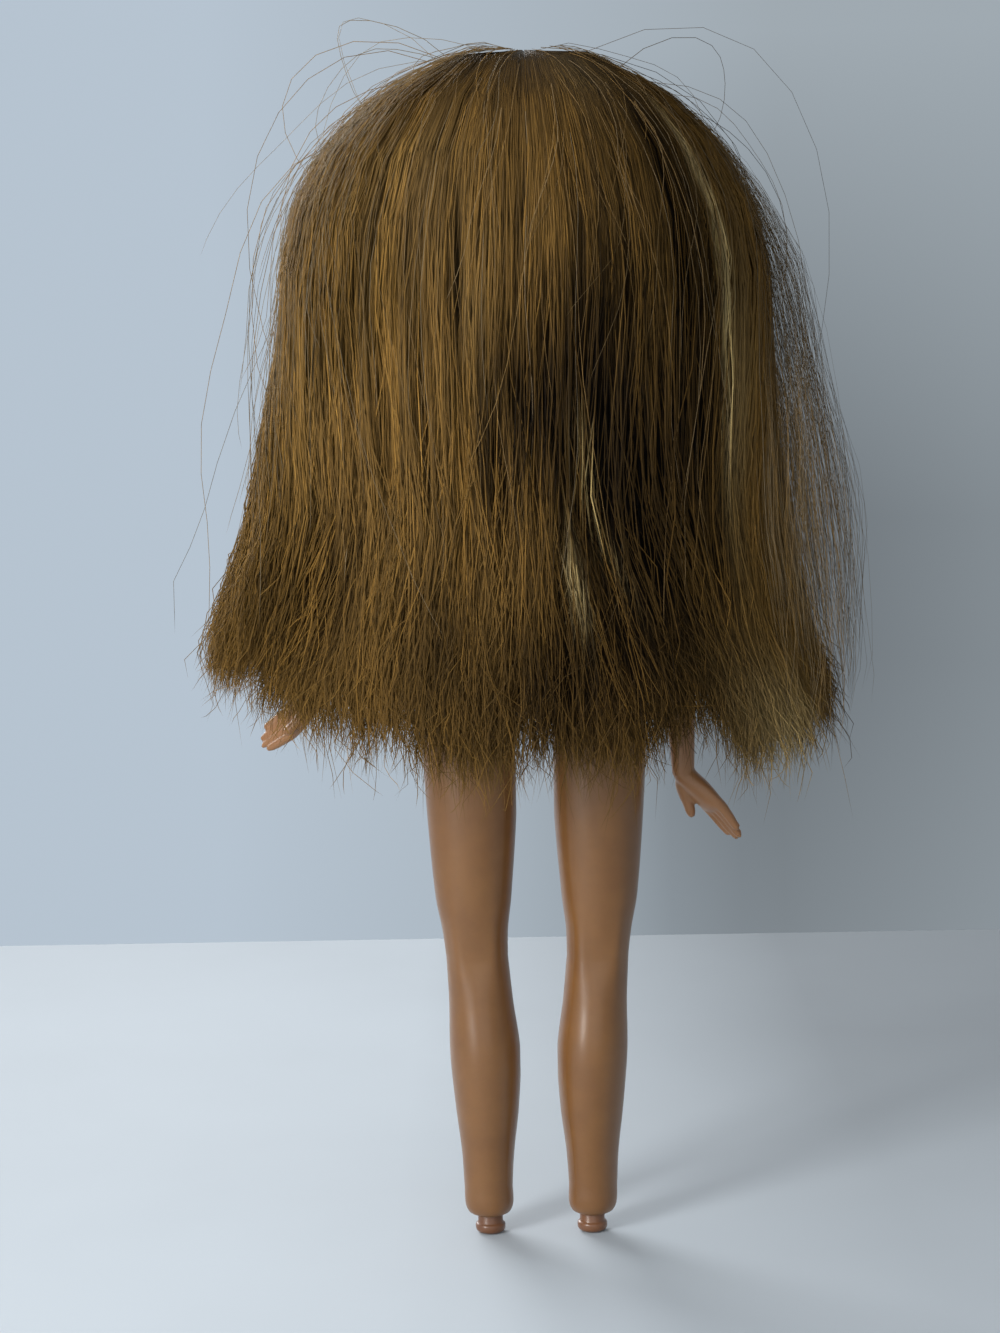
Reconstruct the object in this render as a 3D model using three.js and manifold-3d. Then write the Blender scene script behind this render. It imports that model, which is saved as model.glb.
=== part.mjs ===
// A fashion doll of the ten inch class, without its push-on feet: vinyl head with long rooted hair,
// welded two-shell torso, one-piece arms on shoulder pegs, and soft legs over click-knee armatures.
// Millimetres, +Z up. The doll faces -Y, its left side is +X, and it stands on its ankle pegs at Z = 0.
import * as THREE from "three";
import { mergeVertices } from "three/addons/utils/BufferGeometryUtils.js";
import Module from "manifold-3d";

const wasm = await Module();
wasm.setup();

// Driving lengths, up from the surface under the ankle pegs
const ankleHeight = 3.8; // the end of the leg over that surface
const shinLength = 53.2; // from the end of the leg to the knee
const thighLength = 61; // from the knee to the hip
const torsoLength = 42; // from the hip to the shoulder
const neckLength = 14.2; // from the shoulder to the top of the neck
const headLift = 25.8; // from the top of the neck to the head's centre
const hairRise = 34.5; // from the head's centre to the top of the hair
const hairDrop = 14; // from the head's centre down to where the hair leaves its curve and hangs
const hairHang = 91; // from there down to the lowest hem
const leftReach = 51; // from the shoulder down to the left wrist, whose elbow is bent
const rightReach = 67; // from the shoulder down to the right wrist

const kneeHeight = ankleHeight + shinLength;
const hipHeight = kneeHeight + thighLength;
const shoulderHeight = hipHeight + torsoLength;
const waistHeight = hipHeight + 0.524 * torsoLength;
const neckTopHeight = shoulderHeight + neckLength;
const headCentreHeight = neckTopHeight + headLift;
const hairWidestHeight = headCentreHeight - hairDrop;
const beyond = 400; // a distance that is clear of the whole doll

// Driving widths
const hipSpread = 13.3; // leg centre from the middle at the hip
const ankleSpread = 10.3; // leg centre from the middle at the pegs
const hipHalfWidth = 20.6;
const waistHalfWidth = 12.4;
const chestHalfWidth = 17.2;
const shoulderFaceX = 16.8; // flat shoulder faces that the arms turn against
const legInnerX = 3.8; // flat inner faces of the leg hubs
const hubOuterX = 22.8;

// Walls, pins and clearances
const runningGap = 0.3;
const torsoWall = 1.6;
const headWall = 2.2;
const neckRadius = 4.3;
const neckStemRadius = 2.4;
const neckKnobRadius = 5.9;
const shoulderPegRadius = 2.2;
const shoulderFlangeRadius = 3.0;
const flangeThickness = 1.4;
const hipBarRadius = 2.3;
const hipFlangeRadius = 4.2;
const kneePinRadius = 1.2;
const kneeEyeRadius = 3.3;
const linkHalfWidth = 2.2;
const pegKnobRadius = 3.0;
const pegNeckRadius = 2.5;

// Joint ranges that the pelvis makes room for, in degrees
const legForward = 90;
const legBack = 20;

const skin = new THREE.MeshStandardMaterial({ color: 0xb8835c, roughness: 0.42 });
const softSkin = new THREE.MeshStandardMaterial({ color: 0xb07a55, roughness: 0.38 });
const headVinyl = new THREE.MeshStandardMaterial({ color: 0xbd8962, roughness: 0.5 });
const innerPlastic = new THREE.MeshStandardMaterial({ color: 0xa9744f, roughness: 0.45 });
const hairFibre = new THREE.MeshStandardMaterial({ color: 0x83602f, roughness: 0.55 });

const radians = (degrees) => (degrees * Math.PI) / 180;
const mix = (a, b, t) => a + (b - a) * t;
const clamp = (x, low, high) => Math.min(high, Math.max(low, x));
const bell = (x) => Math.exp(-x * x);

// Values between stations [position, value, value, ...], on a smooth cubic through them.
function along(stations, position) {
  const last = stations.length - 1;
  const p = clamp(position, stations[0][0], stations[last][0]);
  let i = 0;
  while (i < last - 1 && p > stations[i + 1][0]) i += 1;
  const [before, from, to, after] = [
    stations[Math.max(i - 1, 0)],
    stations[i],
    stations[i + 1],
    stations[Math.min(i + 2, last)],
  ];
  const span = to[0] - from[0];
  const t = (p - from[0]) / span;
  return from.slice(1).map((value, k) => {
    const slopeIn = ((to[k + 1] - before[k + 1]) / (to[0] - before[0])) * span;
    const slopeOut = ((after[k + 1] - from[k + 1]) / (after[0] - from[0])) * span;
    const t2 = t * t;
    const t3 = t2 * t;
    return (
      (2 * t3 - 3 * t2 + 1) * value +
      (t3 - 2 * t2 + t) * slopeIn +
      (3 * t2 - 2 * t3) * to[k + 1] +
      (t3 - t2) * slopeOut
    );
  });
}

// A closed geometry's solid, with coincident vertices merged and empty triangles dropped.
function solidOf(geometry) {
  const plain = geometry.index ? geometry.toNonIndexed() : geometry.clone();
  const bare = new THREE.BufferGeometry().setAttribute("position", plain.getAttribute("position"));
  const merged = mergeVertices(bare, 1e-4);
  const index = merged.index.array;
  const kept = [];
  for (let i = 0; i < index.length; i += 3) {
    const [a, b, c] = [index[i], index[i + 1], index[i + 2]];
    if (a !== b && b !== c && a !== c) kept.push(a, b, c);
  }
  const mesh = new wasm.Mesh({
    numProp: 3,
    vertProperties: merged.attributes.position.array,
    triVerts: new Uint32Array(kept),
  });
  return new wasm.Manifold(mesh);
}

function geometryOf(solid) {
  const mesh = solid.getMesh();
  const geometry = new THREE.BufferGeometry();
  geometry.setAttribute("position", new THREE.BufferAttribute(mesh.vertProperties, 3));
  geometry.setIndex(new THREE.BufferAttribute(mesh.triVerts, 1));
  const flat = geometry.toNonIndexed();
  flat.computeVertexNormals();
  return flat;
}

const joined = (...solids) => solids.reduce((a, b) => a.add(b));
const cut = (solid, ...tools) => tools.reduce((a, b) => a.subtract(b), solid);

// A closed skin through rings of points. Each ring runs anticlockwise seen from the end of the row,
// both ends are closed by fans round their middles, and each square is split on its short diagonal.
function loft(rings) {
  const count = rings[0].length;
  const points = rings.flat();
  const middle = (ring) =>
    ring.reduce((sum, p) => sum.add(p), new THREE.Vector3()).divideScalar(ring.length);
  points.push(middle(rings[0]), middle(rings[rings.length - 1]));
  const [start, end] = [points.length - 2, points.length - 1];
  const top = (rings.length - 1) * count;
  const faces = [];
  for (let j = 0; j < count; j += 1) {
    const k = (j + 1) % count;
    faces.push(start, k, j, end, top + j, top + k);
    for (let i = 0; i < rings.length - 1; i += 1) {
      const [a, b, c, d] = [i * count + j, i * count + k, (i + 1) * count + k, (i + 1) * count + j];
      const straight = points[a].distanceTo(points[c]) <= points[b].distanceTo(points[d]) + 1e-5;
      faces.push(...(straight ? [a, b, c, a, c, d] : [a, b, d, b, c, d]));
    }
  }
  const geometry = new THREE.BufferGeometry().setFromPoints(points);
  geometry.setIndex(faces);
  return solidOf(geometry);
}

// One level ring: half-width, reach to the front and to the back, round a centre.
function levelRing(z, x, y, halfWidth, front, back, count) {
  return Array.from({ length: count }, (_, i) => {
    const angle = (i / count) * 2 * Math.PI;
    const reach = Math.sin(angle) < 0 ? front : back;
    return new THREE.Vector3(x + halfWidth * Math.cos(angle), y + reach * Math.sin(angle), z);
  });
}

// A round solid about a line along X, Y or Z, from [distance along the line, radius] pairs.
function turned(axis, profile, segments = 16) {
  const points = profile.map(([at, radius]) => new THREE.Vector2(radius, at));
  const geometry = new THREE.LatheGeometry(points, segments);
  if (axis === "x") geometry.rotateZ(-Math.PI / 2);
  if (axis === "z") geometry.rotateX(Math.PI / 2);
  return solidOf(geometry);
}

const rod = (axis, from, to, radius, segments = 16) =>
  turned(axis, [[from, 0], [from, radius], [to, radius], [to, 0]], segments);

const block = (lowX, highX, lowY, highY, lowZ, highZ) => {
  const box = new THREE.BoxGeometry(highX - lowX, highY - lowY, highZ - lowZ);
  box.translate((lowX + highX) / 2, (lowY + highY) / 2, (lowZ + highZ) / 2);
  return solidOf(box);
};

// A limb swept along stations [x, y, z, radius across, radius front to back], with a round tip.
function limb(stations, columns = 12, rows = 12) {
  const numbered = stations.map((s, i) => [i / (stations.length - 1), ...s]);
  const at = (t) => along(numbered, t);
  const rings = [];
  for (let i = 0; i <= rows; i += 1) {
    const [x, y, z, across, deep] = at(i / rows);
    const [ax, ay, az] = at(Math.max(i / rows - 0.02, 0));
    const [bx, by, bz] = at(Math.min(i / rows + 0.02, 1));
    const tangent = new THREE.Vector3(bx - ax, by - ay, bz - az).normalize();
    const side = new THREE.Vector3().crossVectors(new THREE.Vector3(0, 1, 0), tangent).normalize();
    const fore = new THREE.Vector3().crossVectors(tangent, side);
    rings.push(
      Array.from({ length: columns }, (_, k) => {
        const angle = (k / columns) * 2 * Math.PI;
        return new THREE.Vector3(x, y, z)
          .addScaledVector(side, across * Math.cos(angle))
          .addScaledVector(fore, deep * Math.sin(angle));
      }),
    );
  }
  return loft(rings);
}

// Legs

const legCentreX = (z) => mix(ankleSpread, hipSpread, z / hipHeight);

// [share of the shin from cuff to knee, half-width, front, back, shift towards the other leg]
const shinForm = [
  [0, 3.1, 3.1, 3.1, 0],
  [0.012, 4.2, 4.2, 4.2, 0],
  [0.045, 4.85, 4.9, 4.9, 0],
  [0.12, 4.85, 4.9, 5.0, 0],
  [0.24, 5.2, 5.1, 5.7, 0.2],
  [0.42, 6.3, 5.6, 7.2, 0.45],
  [0.63, 7.0, 6.0, 8.2, 0.5],
  [0.83, 6.35, 6.1, 7.0, 0.1],
  [1, 6.1, 6.4, 6.2, -0.3],
];
// [share of the thigh from knee to hip, half-width, front, back, shift towards the other leg]
const thighForm = [
  [0, 6.1, 6.4, 6.2, -0.3],
  [0.09, 6.5, 6.8, 6.3, -0.45],
  [0.2, 7.5, 7.5, 7.0, -0.5],
  [0.5, 8.9, 8.7, 8.6, -0.1],
  [0.75, 9.3, 8.9, 9.1, 0],
  [1, 9.1, 8.8, 9.1, 0],
];
const kneeSoftHalf = 6.2; // reach of the soft bending zone above and below the knee
const legColumns = 18;

function legRing(z) {
  const form =
    z < kneeHeight
      ? along(shinForm, (z - ankleHeight) / (kneeHeight - ankleHeight))
      : along(thighForm, (z - kneeHeight) / (hipHeight - kneeHeight));
  const [halfWidth, front, back, inward] = form;
  return levelRing(z, legCentreX(z) - inward, 0, halfWidth, front, back, legColumns);
}

// The bore that holds the armature, following the leg's middle line.
function legBore(fromZ, toZ, half, columns = 10) {
  return loft([fromZ, toZ].map((z) => levelRing(z, legCentreX(z), 0, half, half, half, columns)));
}

// The hub at the top of the leg is round about the hip axis, so that it turns in the pelvis.
const hubInnerRadius = 7.6;
const hubOuterRadius = 10.5;
const hubRadius = (x) =>
  mix(hubInnerRadius, hubOuterRadius, clamp((x - legInnerX) / (hubOuterX - 2 - legInnerX), 0, 1));

function legHub(grow, outerX) {
  const inner = legInnerX - grow;
  const profile = [[inner, 0], [inner, hubRadius(legInnerX) + grow]];
  if (grow > 0) {
    profile.push([hubOuterX - 2, hubOuterRadius + grow], [outerX, hubOuterRadius + grow], [outerX, 0]);
  } else {
    profile.push([hubOuterX - 3.2, hubRadius(hubOuterX - 3.2)], [hubOuterX - 1.5, hubOuterRadius - 0.9]);
    profile.push([hubOuterX - 0.5, hubOuterRadius - 2.6], [hubOuterX, hubOuterRadius - 5.4], [hubOuterX, 0]);
  }
  return turned("x", profile, 24).translate([0, 0, hipHeight]);
}

const kneeX = legCentreX(kneeHeight);
const thighBoreTop = hipHeight - hubInnerRadius - 3;

function thighSkin() {
  const shares = [0.18, 0.31, 0.47, 0.65, 0.83, 1];
  const rows = shares.map((share) => mix(kneeHeight, hipHeight, share));
  const bottom = kneeHeight + kneeSoftHalf + runningGap;
  const outer = joined(loft([bottom, ...rows].map(legRing)), legHub(0));
  const innerFace = block(-beyond, legInnerX, -beyond, beyond, kneeHeight, hipHeight + beyond);
  const barSocket = turned(
    "x",
    [
      [0, 0],
      [0, hipBarRadius + runningGap],
      [legInnerX + 3, hipBarRadius + runningGap],
      [legInnerX + 3, hipFlangeRadius + runningGap],
      [legInnerX + 3 + 2.2, hipFlangeRadius + runningGap],
      [legInnerX + 3 + 2.2, 0],
    ],
    16,
  ).translate([0, 0, hipHeight]);
  const bore = legBore(kneeHeight, thighBoreTop, linkHalfWidth * 1.42 + runningGap);
  return cut(outer, innerFace, barSocket, bore);
}

function kneeSkin() {
  const reach = kneeSoftHalf;
  const rows = [-reach, -reach / 2, 0, reach / 2, reach].map((dz) => legRing(kneeHeight + dz));
  return cut(loft(rows), legBore(kneeHeight - reach - 1, kneeHeight + reach + 1, kneeEyeRadius + 1.4, 12));
}

function shinSkin() {
  const top = kneeHeight - kneeSoftHalf - runningGap;
  const shares = [0, 0.012, 0.045, 0.15, 0.27, 0.4, 0.53, 0.64, 0.76];
  const rows = shares.map((share) => mix(ankleHeight, kneeHeight, share));
  const bore = legBore(0, kneeHeight, linkHalfWidth * 1.42 + runningGap);
  return cut(loft([...rows, top].map(legRing)), bore);
}

// A flat link between two heights, square with its corners off, following the leg's middle line.
function link(fromZ, toZ) {
  const ring = (z) =>
    levelRing(z, legCentreX(z), 0, linkHalfWidth, linkHalfWidth, linkHalfWidth, 8);
  return loft([ring(fromZ), ring(toZ)]);
}

const atKnee = (solid) => solid.translate([kneeX, 0, kneeHeight]);
const eyeHalf = 1.3;
const cheekOut = 2.9;

// The thigh's link ends in a fork whose cheeks carry the knee pin.
function thighLink() {
  const cheek = (side) => {
    const [a, b] = [side * (eyeHalf + runningGap), side * cheekOut].sort((p, q) => p - q);
    const round = rod("x", a, b, kneeEyeRadius - 0.3, 16);
    const arm = block(a, b, -2.1, 2.1, 0, kneeEyeRadius + 3);
    return atKnee(joined(round, arm));
  };
  const bar = link(kneeHeight + kneeEyeRadius + 1.2, thighBoreTop - 1);
  const pinHole = atKnee(rod("x", -5, 5, kneePinRadius + runningGap, 12));
  return cut(joined(bar, cheek(1), cheek(-1)), pinHole);
}

// The shin's link has the notched eye of the click knee at its top and the ankle peg at its foot.
function shinLink() {
  const eye = rod("x", -eyeHalf, eyeHalf, kneeEyeRadius, 20);
  const neck = block(-eyeHalf, eyeHalf, -1.9, 1.9, -kneeEyeRadius - 3, 0);
  const notches = [20, 45, 70].map((degrees) => {
    const angle = radians(90 - degrees);
    const at = [0, -Math.cos(angle) * kneeEyeRadius, Math.sin(angle) * kneeEyeRadius];
    return rod("x", -3, 3, 0.45, 6).translate(at);
  });
  const pinHole = rod("x", -5, 5, kneePinRadius + runningGap, 12);
  const head = atKnee(cut(joined(eye, neck), pinHole, ...notches));
  const pegTop = ankleHeight + 5;
  const bar = link(pegTop - 1, kneeHeight - kneeEyeRadius - 1.2);
  const peg = turned(
    "z",
    [
      [0, 0],
      [0, 2.2],
      [0.35, 2.7],
      [0.95, pegKnobRadius],
      [1.7, pegKnobRadius],
      [2.25, pegNeckRadius],
      [pegTop, pegNeckRadius],
      [pegTop, 0],
    ],
    20,
  ).translate([legCentreX(0), 0, 0]);
  return joined(head, bar, peg);
}

const kneePin = () => atKnee(rod("x", -cheekOut - 0.4, cheekOut + 0.4, kneePinRadius, 12));

// Torso

// [height, half-width, front, back, middle Y], closed below at the crotch and above at the neck
const torsoForm = [
  [hipHeight - 11, 7, 4.5, 5, 0],
  [hipHeight - 8, 13, 7, 7.6, 0],
  [hipHeight - 2, hipHalfWidth - 1, 9, 9.6, 0.2],
  [hipHeight + 5, hipHalfWidth, 9.6, 10.6, 0.4],
  [mix(hipHeight, waistHeight, 0.55), hipHalfWidth - 2, 9.2, 9.6, 0.2],
  [waistHeight, waistHalfWidth, 7.8, 6.8, -0.3],
  [waistHeight + 8, waistHalfWidth + 1.8, 8.3, 7.2, 0],
  [shoulderHeight - 5, chestHalfWidth, 10.4, 8.0, 0],
  [shoulderHeight + 1.5, chestHalfWidth + 0.6, 7.8, 7.6, 0],
  [shoulderHeight + 5, 14, 5.8, 6.4, 0],
  [shoulderHeight + 7.2, 8.4, 4.9, 5.2, 0],
  [shoulderHeight + 9, neckRadius + 0.7, neckRadius + 0.5, neckRadius + 0.5, 0],
  [mix(shoulderHeight + 9, neckTopHeight, 0.4), neckRadius, neckRadius, neckRadius, 0],
  [neckTopHeight, neckRadius - 0.2, neckRadius - 0.2, neckRadius - 0.2, 0],
];
const torsoColumns = 24;

function torsoSolid(inset, fromZ, toZ, columns) {
  const heights = torsoForm.map(([z]) => z).filter((z) => z > fromZ + 0.5 && z < toZ - 0.5);
  return loft(
    [fromZ, ...heights, toZ].map((z) => {
      const [halfWidth, front, back, y] = along(torsoForm, z);
      return levelRing(z, 0, y, halfWidth - inset, front - inset, back - inset, columns);
    }),
  );
}

// Everything that the two thighs sweep between their limits, grown by a clearance.
function legSweep(grow) {
  const outerX = hubOuterX + 8;
  const hub = legHub(grow, outerX);
  const outline = new THREE.Shape();
  const inner = legInnerX - grow;
  outline.moveTo(inner, -hubRadius(legInnerX) - grow);
  outline.lineTo(hubOuterX - 2, -hubOuterRadius - grow);
  outline.lineTo(outerX, -hubOuterRadius - grow);
  outline.lineTo(outerX, hubOuterRadius + grow);
  outline.lineTo(hubOuterX - 2, hubOuterRadius + grow);
  outline.lineTo(inner, hubRadius(legInnerX) + grow);
  const slab = (degrees) => {
    const geometry = new THREE.ExtrudeGeometry(outline, { depth: torsoLength, bevelEnabled: false });
    geometry.rotateX(Math.PI - radians(degrees));
    geometry.translate(0, 0, hipHeight);
    return solidOf(geometry);
  };
  const swings = [-legBack, 0, legForward / 3, (2 * legForward) / 3, legForward].map(slab);
  const left = joined(hub, ...swings);
  return joined(left, left.mirror([1, 0, 0]));
}

const atShoulder = (solid) => solid.translate([0, 0, shoulderHeight]);
const flangeX = shoulderFaceX - torsoWall - runningGap; // outer face of the peg's flange

function torsoWhole() {
  const bottom = torsoForm[0][0];
  const outer = cut(torsoSolid(0, bottom, neckTopHeight, torsoColumns), legSweep(runningGap + 0.1));
  const cavityTop = shoulderHeight + 5;
  const recess = [flangeX - flangeThickness - runningGap, flangeX + runningGap];
  const flangeRoom = shoulderFlangeRadius + runningGap;
  const beside = (side, x) => [side * x, side * beyond].sort((p, q) => p - q);
  const walls = [1, -1].map((side) =>
    block(...beside(side, shoulderFaceX - torsoWall), -beyond, beyond, shoulderHeight - 12, beyond),
  );
  const cavity = cut(
    torsoSolid(torsoWall, bottom + torsoWall, cavityTop, 16),
    legSweep(runningGap + torsoWall),
    ...walls,
  );
  const stemBore = rod("z", cavityTop - 2, neckTopHeight + 2, neckStemRadius + runningGap, 12);
  const sides = [1, -1].flatMap((side) => [
    block(...beside(side, shoulderFaceX), -beyond, beyond, shoulderHeight - 9, beyond),
    atShoulder(rod("x", ...beside(side, 10), shoulderPegRadius + runningGap, 14)),
    atShoulder(rod("x", ...recess.map((x) => side * x).sort((p, q) => p - q), flangeRoom, 14)),
  ]);
  const barHole = rod("x", -8, 8, hipBarRadius + runningGap, 14).translate([0, 0, hipHeight]);
  return cut(outer, cavity, stemBore, barHole, ...sides);
}

const torso = torsoWhole();
const halfSpace = (lowY, highY) => block(-beyond, beyond, lowY, highY, -beyond, beyond);
const torsoFront = () => cut(torso, halfSpace(0, beyond));
const torsoBack = () => cut(torso, halfSpace(-beyond, 0));

// The neck knob's flange is trapped between the torso shells, and the head snaps over its top.
function neckKnob() {
  const flange = shoulderHeight + 3.6;
  return turned(
    "z",
    [
      [flange - 1.4, 0],
      [flange - 1.4, neckStemRadius + 1.4],
      [flange, neckStemRadius + 1.4],
      [flange, neckStemRadius],
      [neckTopHeight + runningGap, neckStemRadius],
      [neckTopHeight + runningGap, neckKnobRadius - 1.7],
      [neckTopHeight + 1.2, neckKnobRadius - 1.7],
      [neckTopHeight + 1.2, neckKnobRadius],
      [neckTopHeight + 2.4, neckKnobRadius],
      [neckTopHeight + 5, neckKnobRadius - 2.4],
      [neckTopHeight + 5, 0],
    ],
    18,
  );
}

// The bar across the pelvis carries both leg hubs on its end flanges.
function hipBar() {
  const flangeIn = legInnerX + 3 + runningGap;
  const half = [
    [flangeIn, hipBarRadius],
    [flangeIn, hipFlangeRadius],
    [flangeIn + 1.5, hipFlangeRadius],
    [flangeIn + 1.5, 0],
  ];
  const mirrored = half.map(([x, r]) => [-x, r]).reverse();
  return turned("x", [...mirrored, ...half], 16).translate([0, 0, hipHeight]);
}

// Head

const headHalfWidth = 28.5;
const headFront = 26;
const headBack = 27.5;
const headUp = 30.5;
const headDown = 28.6;

// Distance from the head's centre to its surface along a direction, with the face's main forms.
function headRadius(dx, dy, dz) {
  const low = clamp(-dz, 0, 1);
  const width = headHalfWidth * (1 - 0.3 * low ** 1.6);
  const deep = dy < 0 ? headFront : headBack * (1 - 0.18 * low ** 1.5);
  const high = dz > 0 ? headUp : headDown;
  const base = 1 / Math.hypot(dx / width, dy / deep, dz / high);
  if (dy > 0) return base;
  const across = Math.atan2(dx, -dy);
  const up = Math.asin(clamp(dz, -1, 1));
  const chin = 2.6 * bell(across / 0.3) * bell((up + 0.92) / 0.24);
  const nose = 2.5 * bell(across / 0.12) * bell((up + 0.36) / 0.13);
  const bridge = 0.9 * bell(across / 0.13) * bell((up + 0.16) / 0.2);
  const lips = 1.7 * bell(across / 0.17) * bell((up + 0.64) / 0.085);
  const bothSides = (at, spread) => bell((across - at) / spread) + bell((across + at) / spread);
  const sockets = 1.0 * bothSides(0.42, 0.24) * bell((up + 0.08) / 0.17);
  const cheeks = 0.9 * bothSides(0.5, 0.25) * bell((up + 0.42) / 0.2);
  return base + chin + nose + bridge + lips + cheeks - sockets;
}

const headCentre = new THREE.Vector3(0, 0, headCentreHeight);

// A ball-like skin at a distance from the head's surface. The columns crowd at the front for the face.
function headShape(grow, columns, rows, crowd) {
  const rings = [];
  for (let i = 0; i <= rows; i += 1) {
    const polar = Math.PI * (1 - clamp(i / rows, 0.012, 0.988));
    rings.push(
      Array.from({ length: columns }, (_, k) => {
        const share = (k / columns) * 2 * Math.PI;
        const turn = share - crowd * Math.sin(share) - Math.PI / 2;
        const d = new THREE.Vector3(
          Math.sin(polar) * Math.cos(turn),
          Math.sin(polar) * Math.sin(turn),
          Math.cos(polar),
        );
        return d.multiplyScalar(headRadius(d.x, d.y, d.z) + grow).add(headCentre);
      }),
    );
  }
  return loft(rings);
}

function headShell() {
  const neckHole = rod("z", -beyond, headCentreHeight - headDown / 2, neckRadius + runningGap, 18);
  return cut(headShape(0, 32, 26, 0.55), headShape(-headWall, 16, 12, 0), neckHole);
}

// Hair. It is rooted in the scalp, leaves the middle part, and falls to the hip as separate locks.
const capDepth = 1.3; // the rooted layer on the scalp
const capRidge = 1.2; // how much thicker that layer is along the part
const capClearance = 0.7; // between the rooted layer and the head, and between it and the locks
const frontReach = 22; // how far forward the hair's dome reaches beside the face
const partBackY = 4; // the part runs from here over the crown
const partFrontY = -20; // to here at the forehead
const locksPerSide = 5;
const hairEdgeTurn = 128; // degrees from the back to the lock beside the face
const lockGap = 0.35;
const hangTurn = 0.81; // the share of its turn that a lock keeps once it hangs, drawn to the back

// [way down the hang, outer half-width, reach to the back, inner half-width, inner reach to the back]
const hairForm = [
  [0, 47, 38, 29.5, 27],
  [0.1, 48.5, 36.5, 33.5, 20],
  [0.23, 51, 35, 38, 14.5],
  [0.44, 54.5, 33, 40, 14.5],
  [0.66, 60, 32.5, 43, 15],
  [0.78, 62.5, 33, 46.5, 15],
  [0.9, 62, 33.5, 50, 15],
  [1.1, 60, 33, 50.5, 15],
];
// [degrees from the back at the hem, to the doll's left, how far down the hang the hem is there]
const hemForm = [
  [-104, 0.86],
  [-84, 0.89],
  [-66, 0.96],
  [-49, 1],
  [-36, 0.93],
  [-28, 0.94],
  [-16, 0.99],
  [0, 0.95],
  [12, 0.97],
  [30, 0.92],
  [50, 0.89],
  [70, 0.85],
  [86, 0.8],
  [104, 0.78],
];

// [degrees from the back, degrees down from the crown] along the hairline
const hairlineForm = [
  [0, 118],
  [60, 114],
  [100, 98],
  [130, 70],
  [160, 46],
  [180, 42],
];

const capGrow = (x) => capDepth + capRidge * bell(x / 6);

// A point over the scalp. Directions past the hairline take the radius there, without the face's forms.
const foreheadLimit = -0.86;

function scalpPoint(towards, grow) {
  const d = towards.clone().sub(headCentre).normalize();
  return d
    .multiplyScalar(headRadius(d.x, Math.max(d.y, foreheadLimit), d.z) + grow)
    .add(headCentre);
}

// Where a hair ends up: turn is in degrees from the back, fall runs from the part (0) over the
// widest height (1) to the hem (2), and depth from the inner side (0) to the outer side (1).
function hairPoint(turn, fall, depth) {
  const side = Math.sign(turn) || 1;
  const away = Math.abs(turn);
  const hang = Math.max(fall - 1, 0);
  const drawn = turn * mix(1, hangTurn, clamp(hang * 2.2, 0, 1));
  const way = hang * along(hemForm, turn * hangTurn)[0];
  const z = hairWidestHeight - hairHang * way;
  const [outX, outY, inX, inY] = along(hairForm, way);
  const [s, c] = [Math.sin(radians(drawn)), Math.cos(radians(drawn))];
  const outer = new THREE.Vector3(outX * s, (c > 0 ? outY : frontReach) * c, z);
  const inner = new THREE.Vector3(inX * s, (c > 0 ? inY : frontReach * 0.7) * c, z);
  if (fall < 1) {
    const lift = clamp(fall, 0, 1) * (Math.PI / 2);
    const forward = clamp((away - 50) / (hairEdgeTurn - 50), 0, 1);
    const rootY = mix(partBackY, partFrontY, forward);
    const rootZ = headCentreHeight + hairRise * Math.sqrt(1 - (rootY / headUp) ** 2);
    outer.set(
      mix(side * 0.4, outer.x, Math.sin(lift)),
      mix(rootY, outer.y, Math.sin(lift)),
      mix(hairWidestHeight, rootZ, Math.cos(lift)),
    );
    const scalp = scalpPoint(outer, capGrow(outer.x) + capClearance);
    const thin = 1.1 - outer.distanceTo(headCentre) + scalp.distanceTo(headCentre);
    if (thin > 0) outer.addScaledVector(outer.clone().sub(headCentre).normalize(), thin);
    const leave = clamp((fall - 0.75) / 0.25, 0, 1);
    inner.lerpVectors(scalp, inner, leave * leave);
  }
  return inner.lerp(outer, depth);
}

// One lock: a closed tube whose section is a rounded wedge between two turns round the head.
function hairLock(fromTurn, toTurn) {
  const falls = [0.05, 0.18, 0.32, 0.48, 0.64, 0.8, 0.92, 1.02, 1.15, 1.35, 1.6, 1.85, 2];
  const rings = falls.map((fall) => {
    const tip = fall > 1.9 ? 0.45 : 1;
    const middle = (fromTurn + toTurn) / 2;
    const level = hairPoint(middle, fall, 1);
    const half = ((toTurn - fromTurn) / 2) * tip;
    const gapTurn = (lockGap * 0.5 * 57.3) / Math.max(Math.hypot(level.x, level.y - partBackY), 4);
    const [a, b] = [middle - half + gapTurn, middle + half - gapTurn];
    const bulge = (share) => 1 - 0.1 * (2 * share - 1) ** 2;
    const outer = [0, 0.25, 0.5, 0.75, 1].map((s) => hairPoint(mix(a, b, s), fall, bulge(s)));
    const inner = [1, 0.5, 0].map((s) => hairPoint(mix(a, b, s), fall, 0.5 - 0.5 * tip));
    const side = (s) => hairPoint(mix(a, b, s), fall, 0.5);
    return [...outer, side(1), ...inner, side(0)];
  });
  return loft(rings);
}

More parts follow.
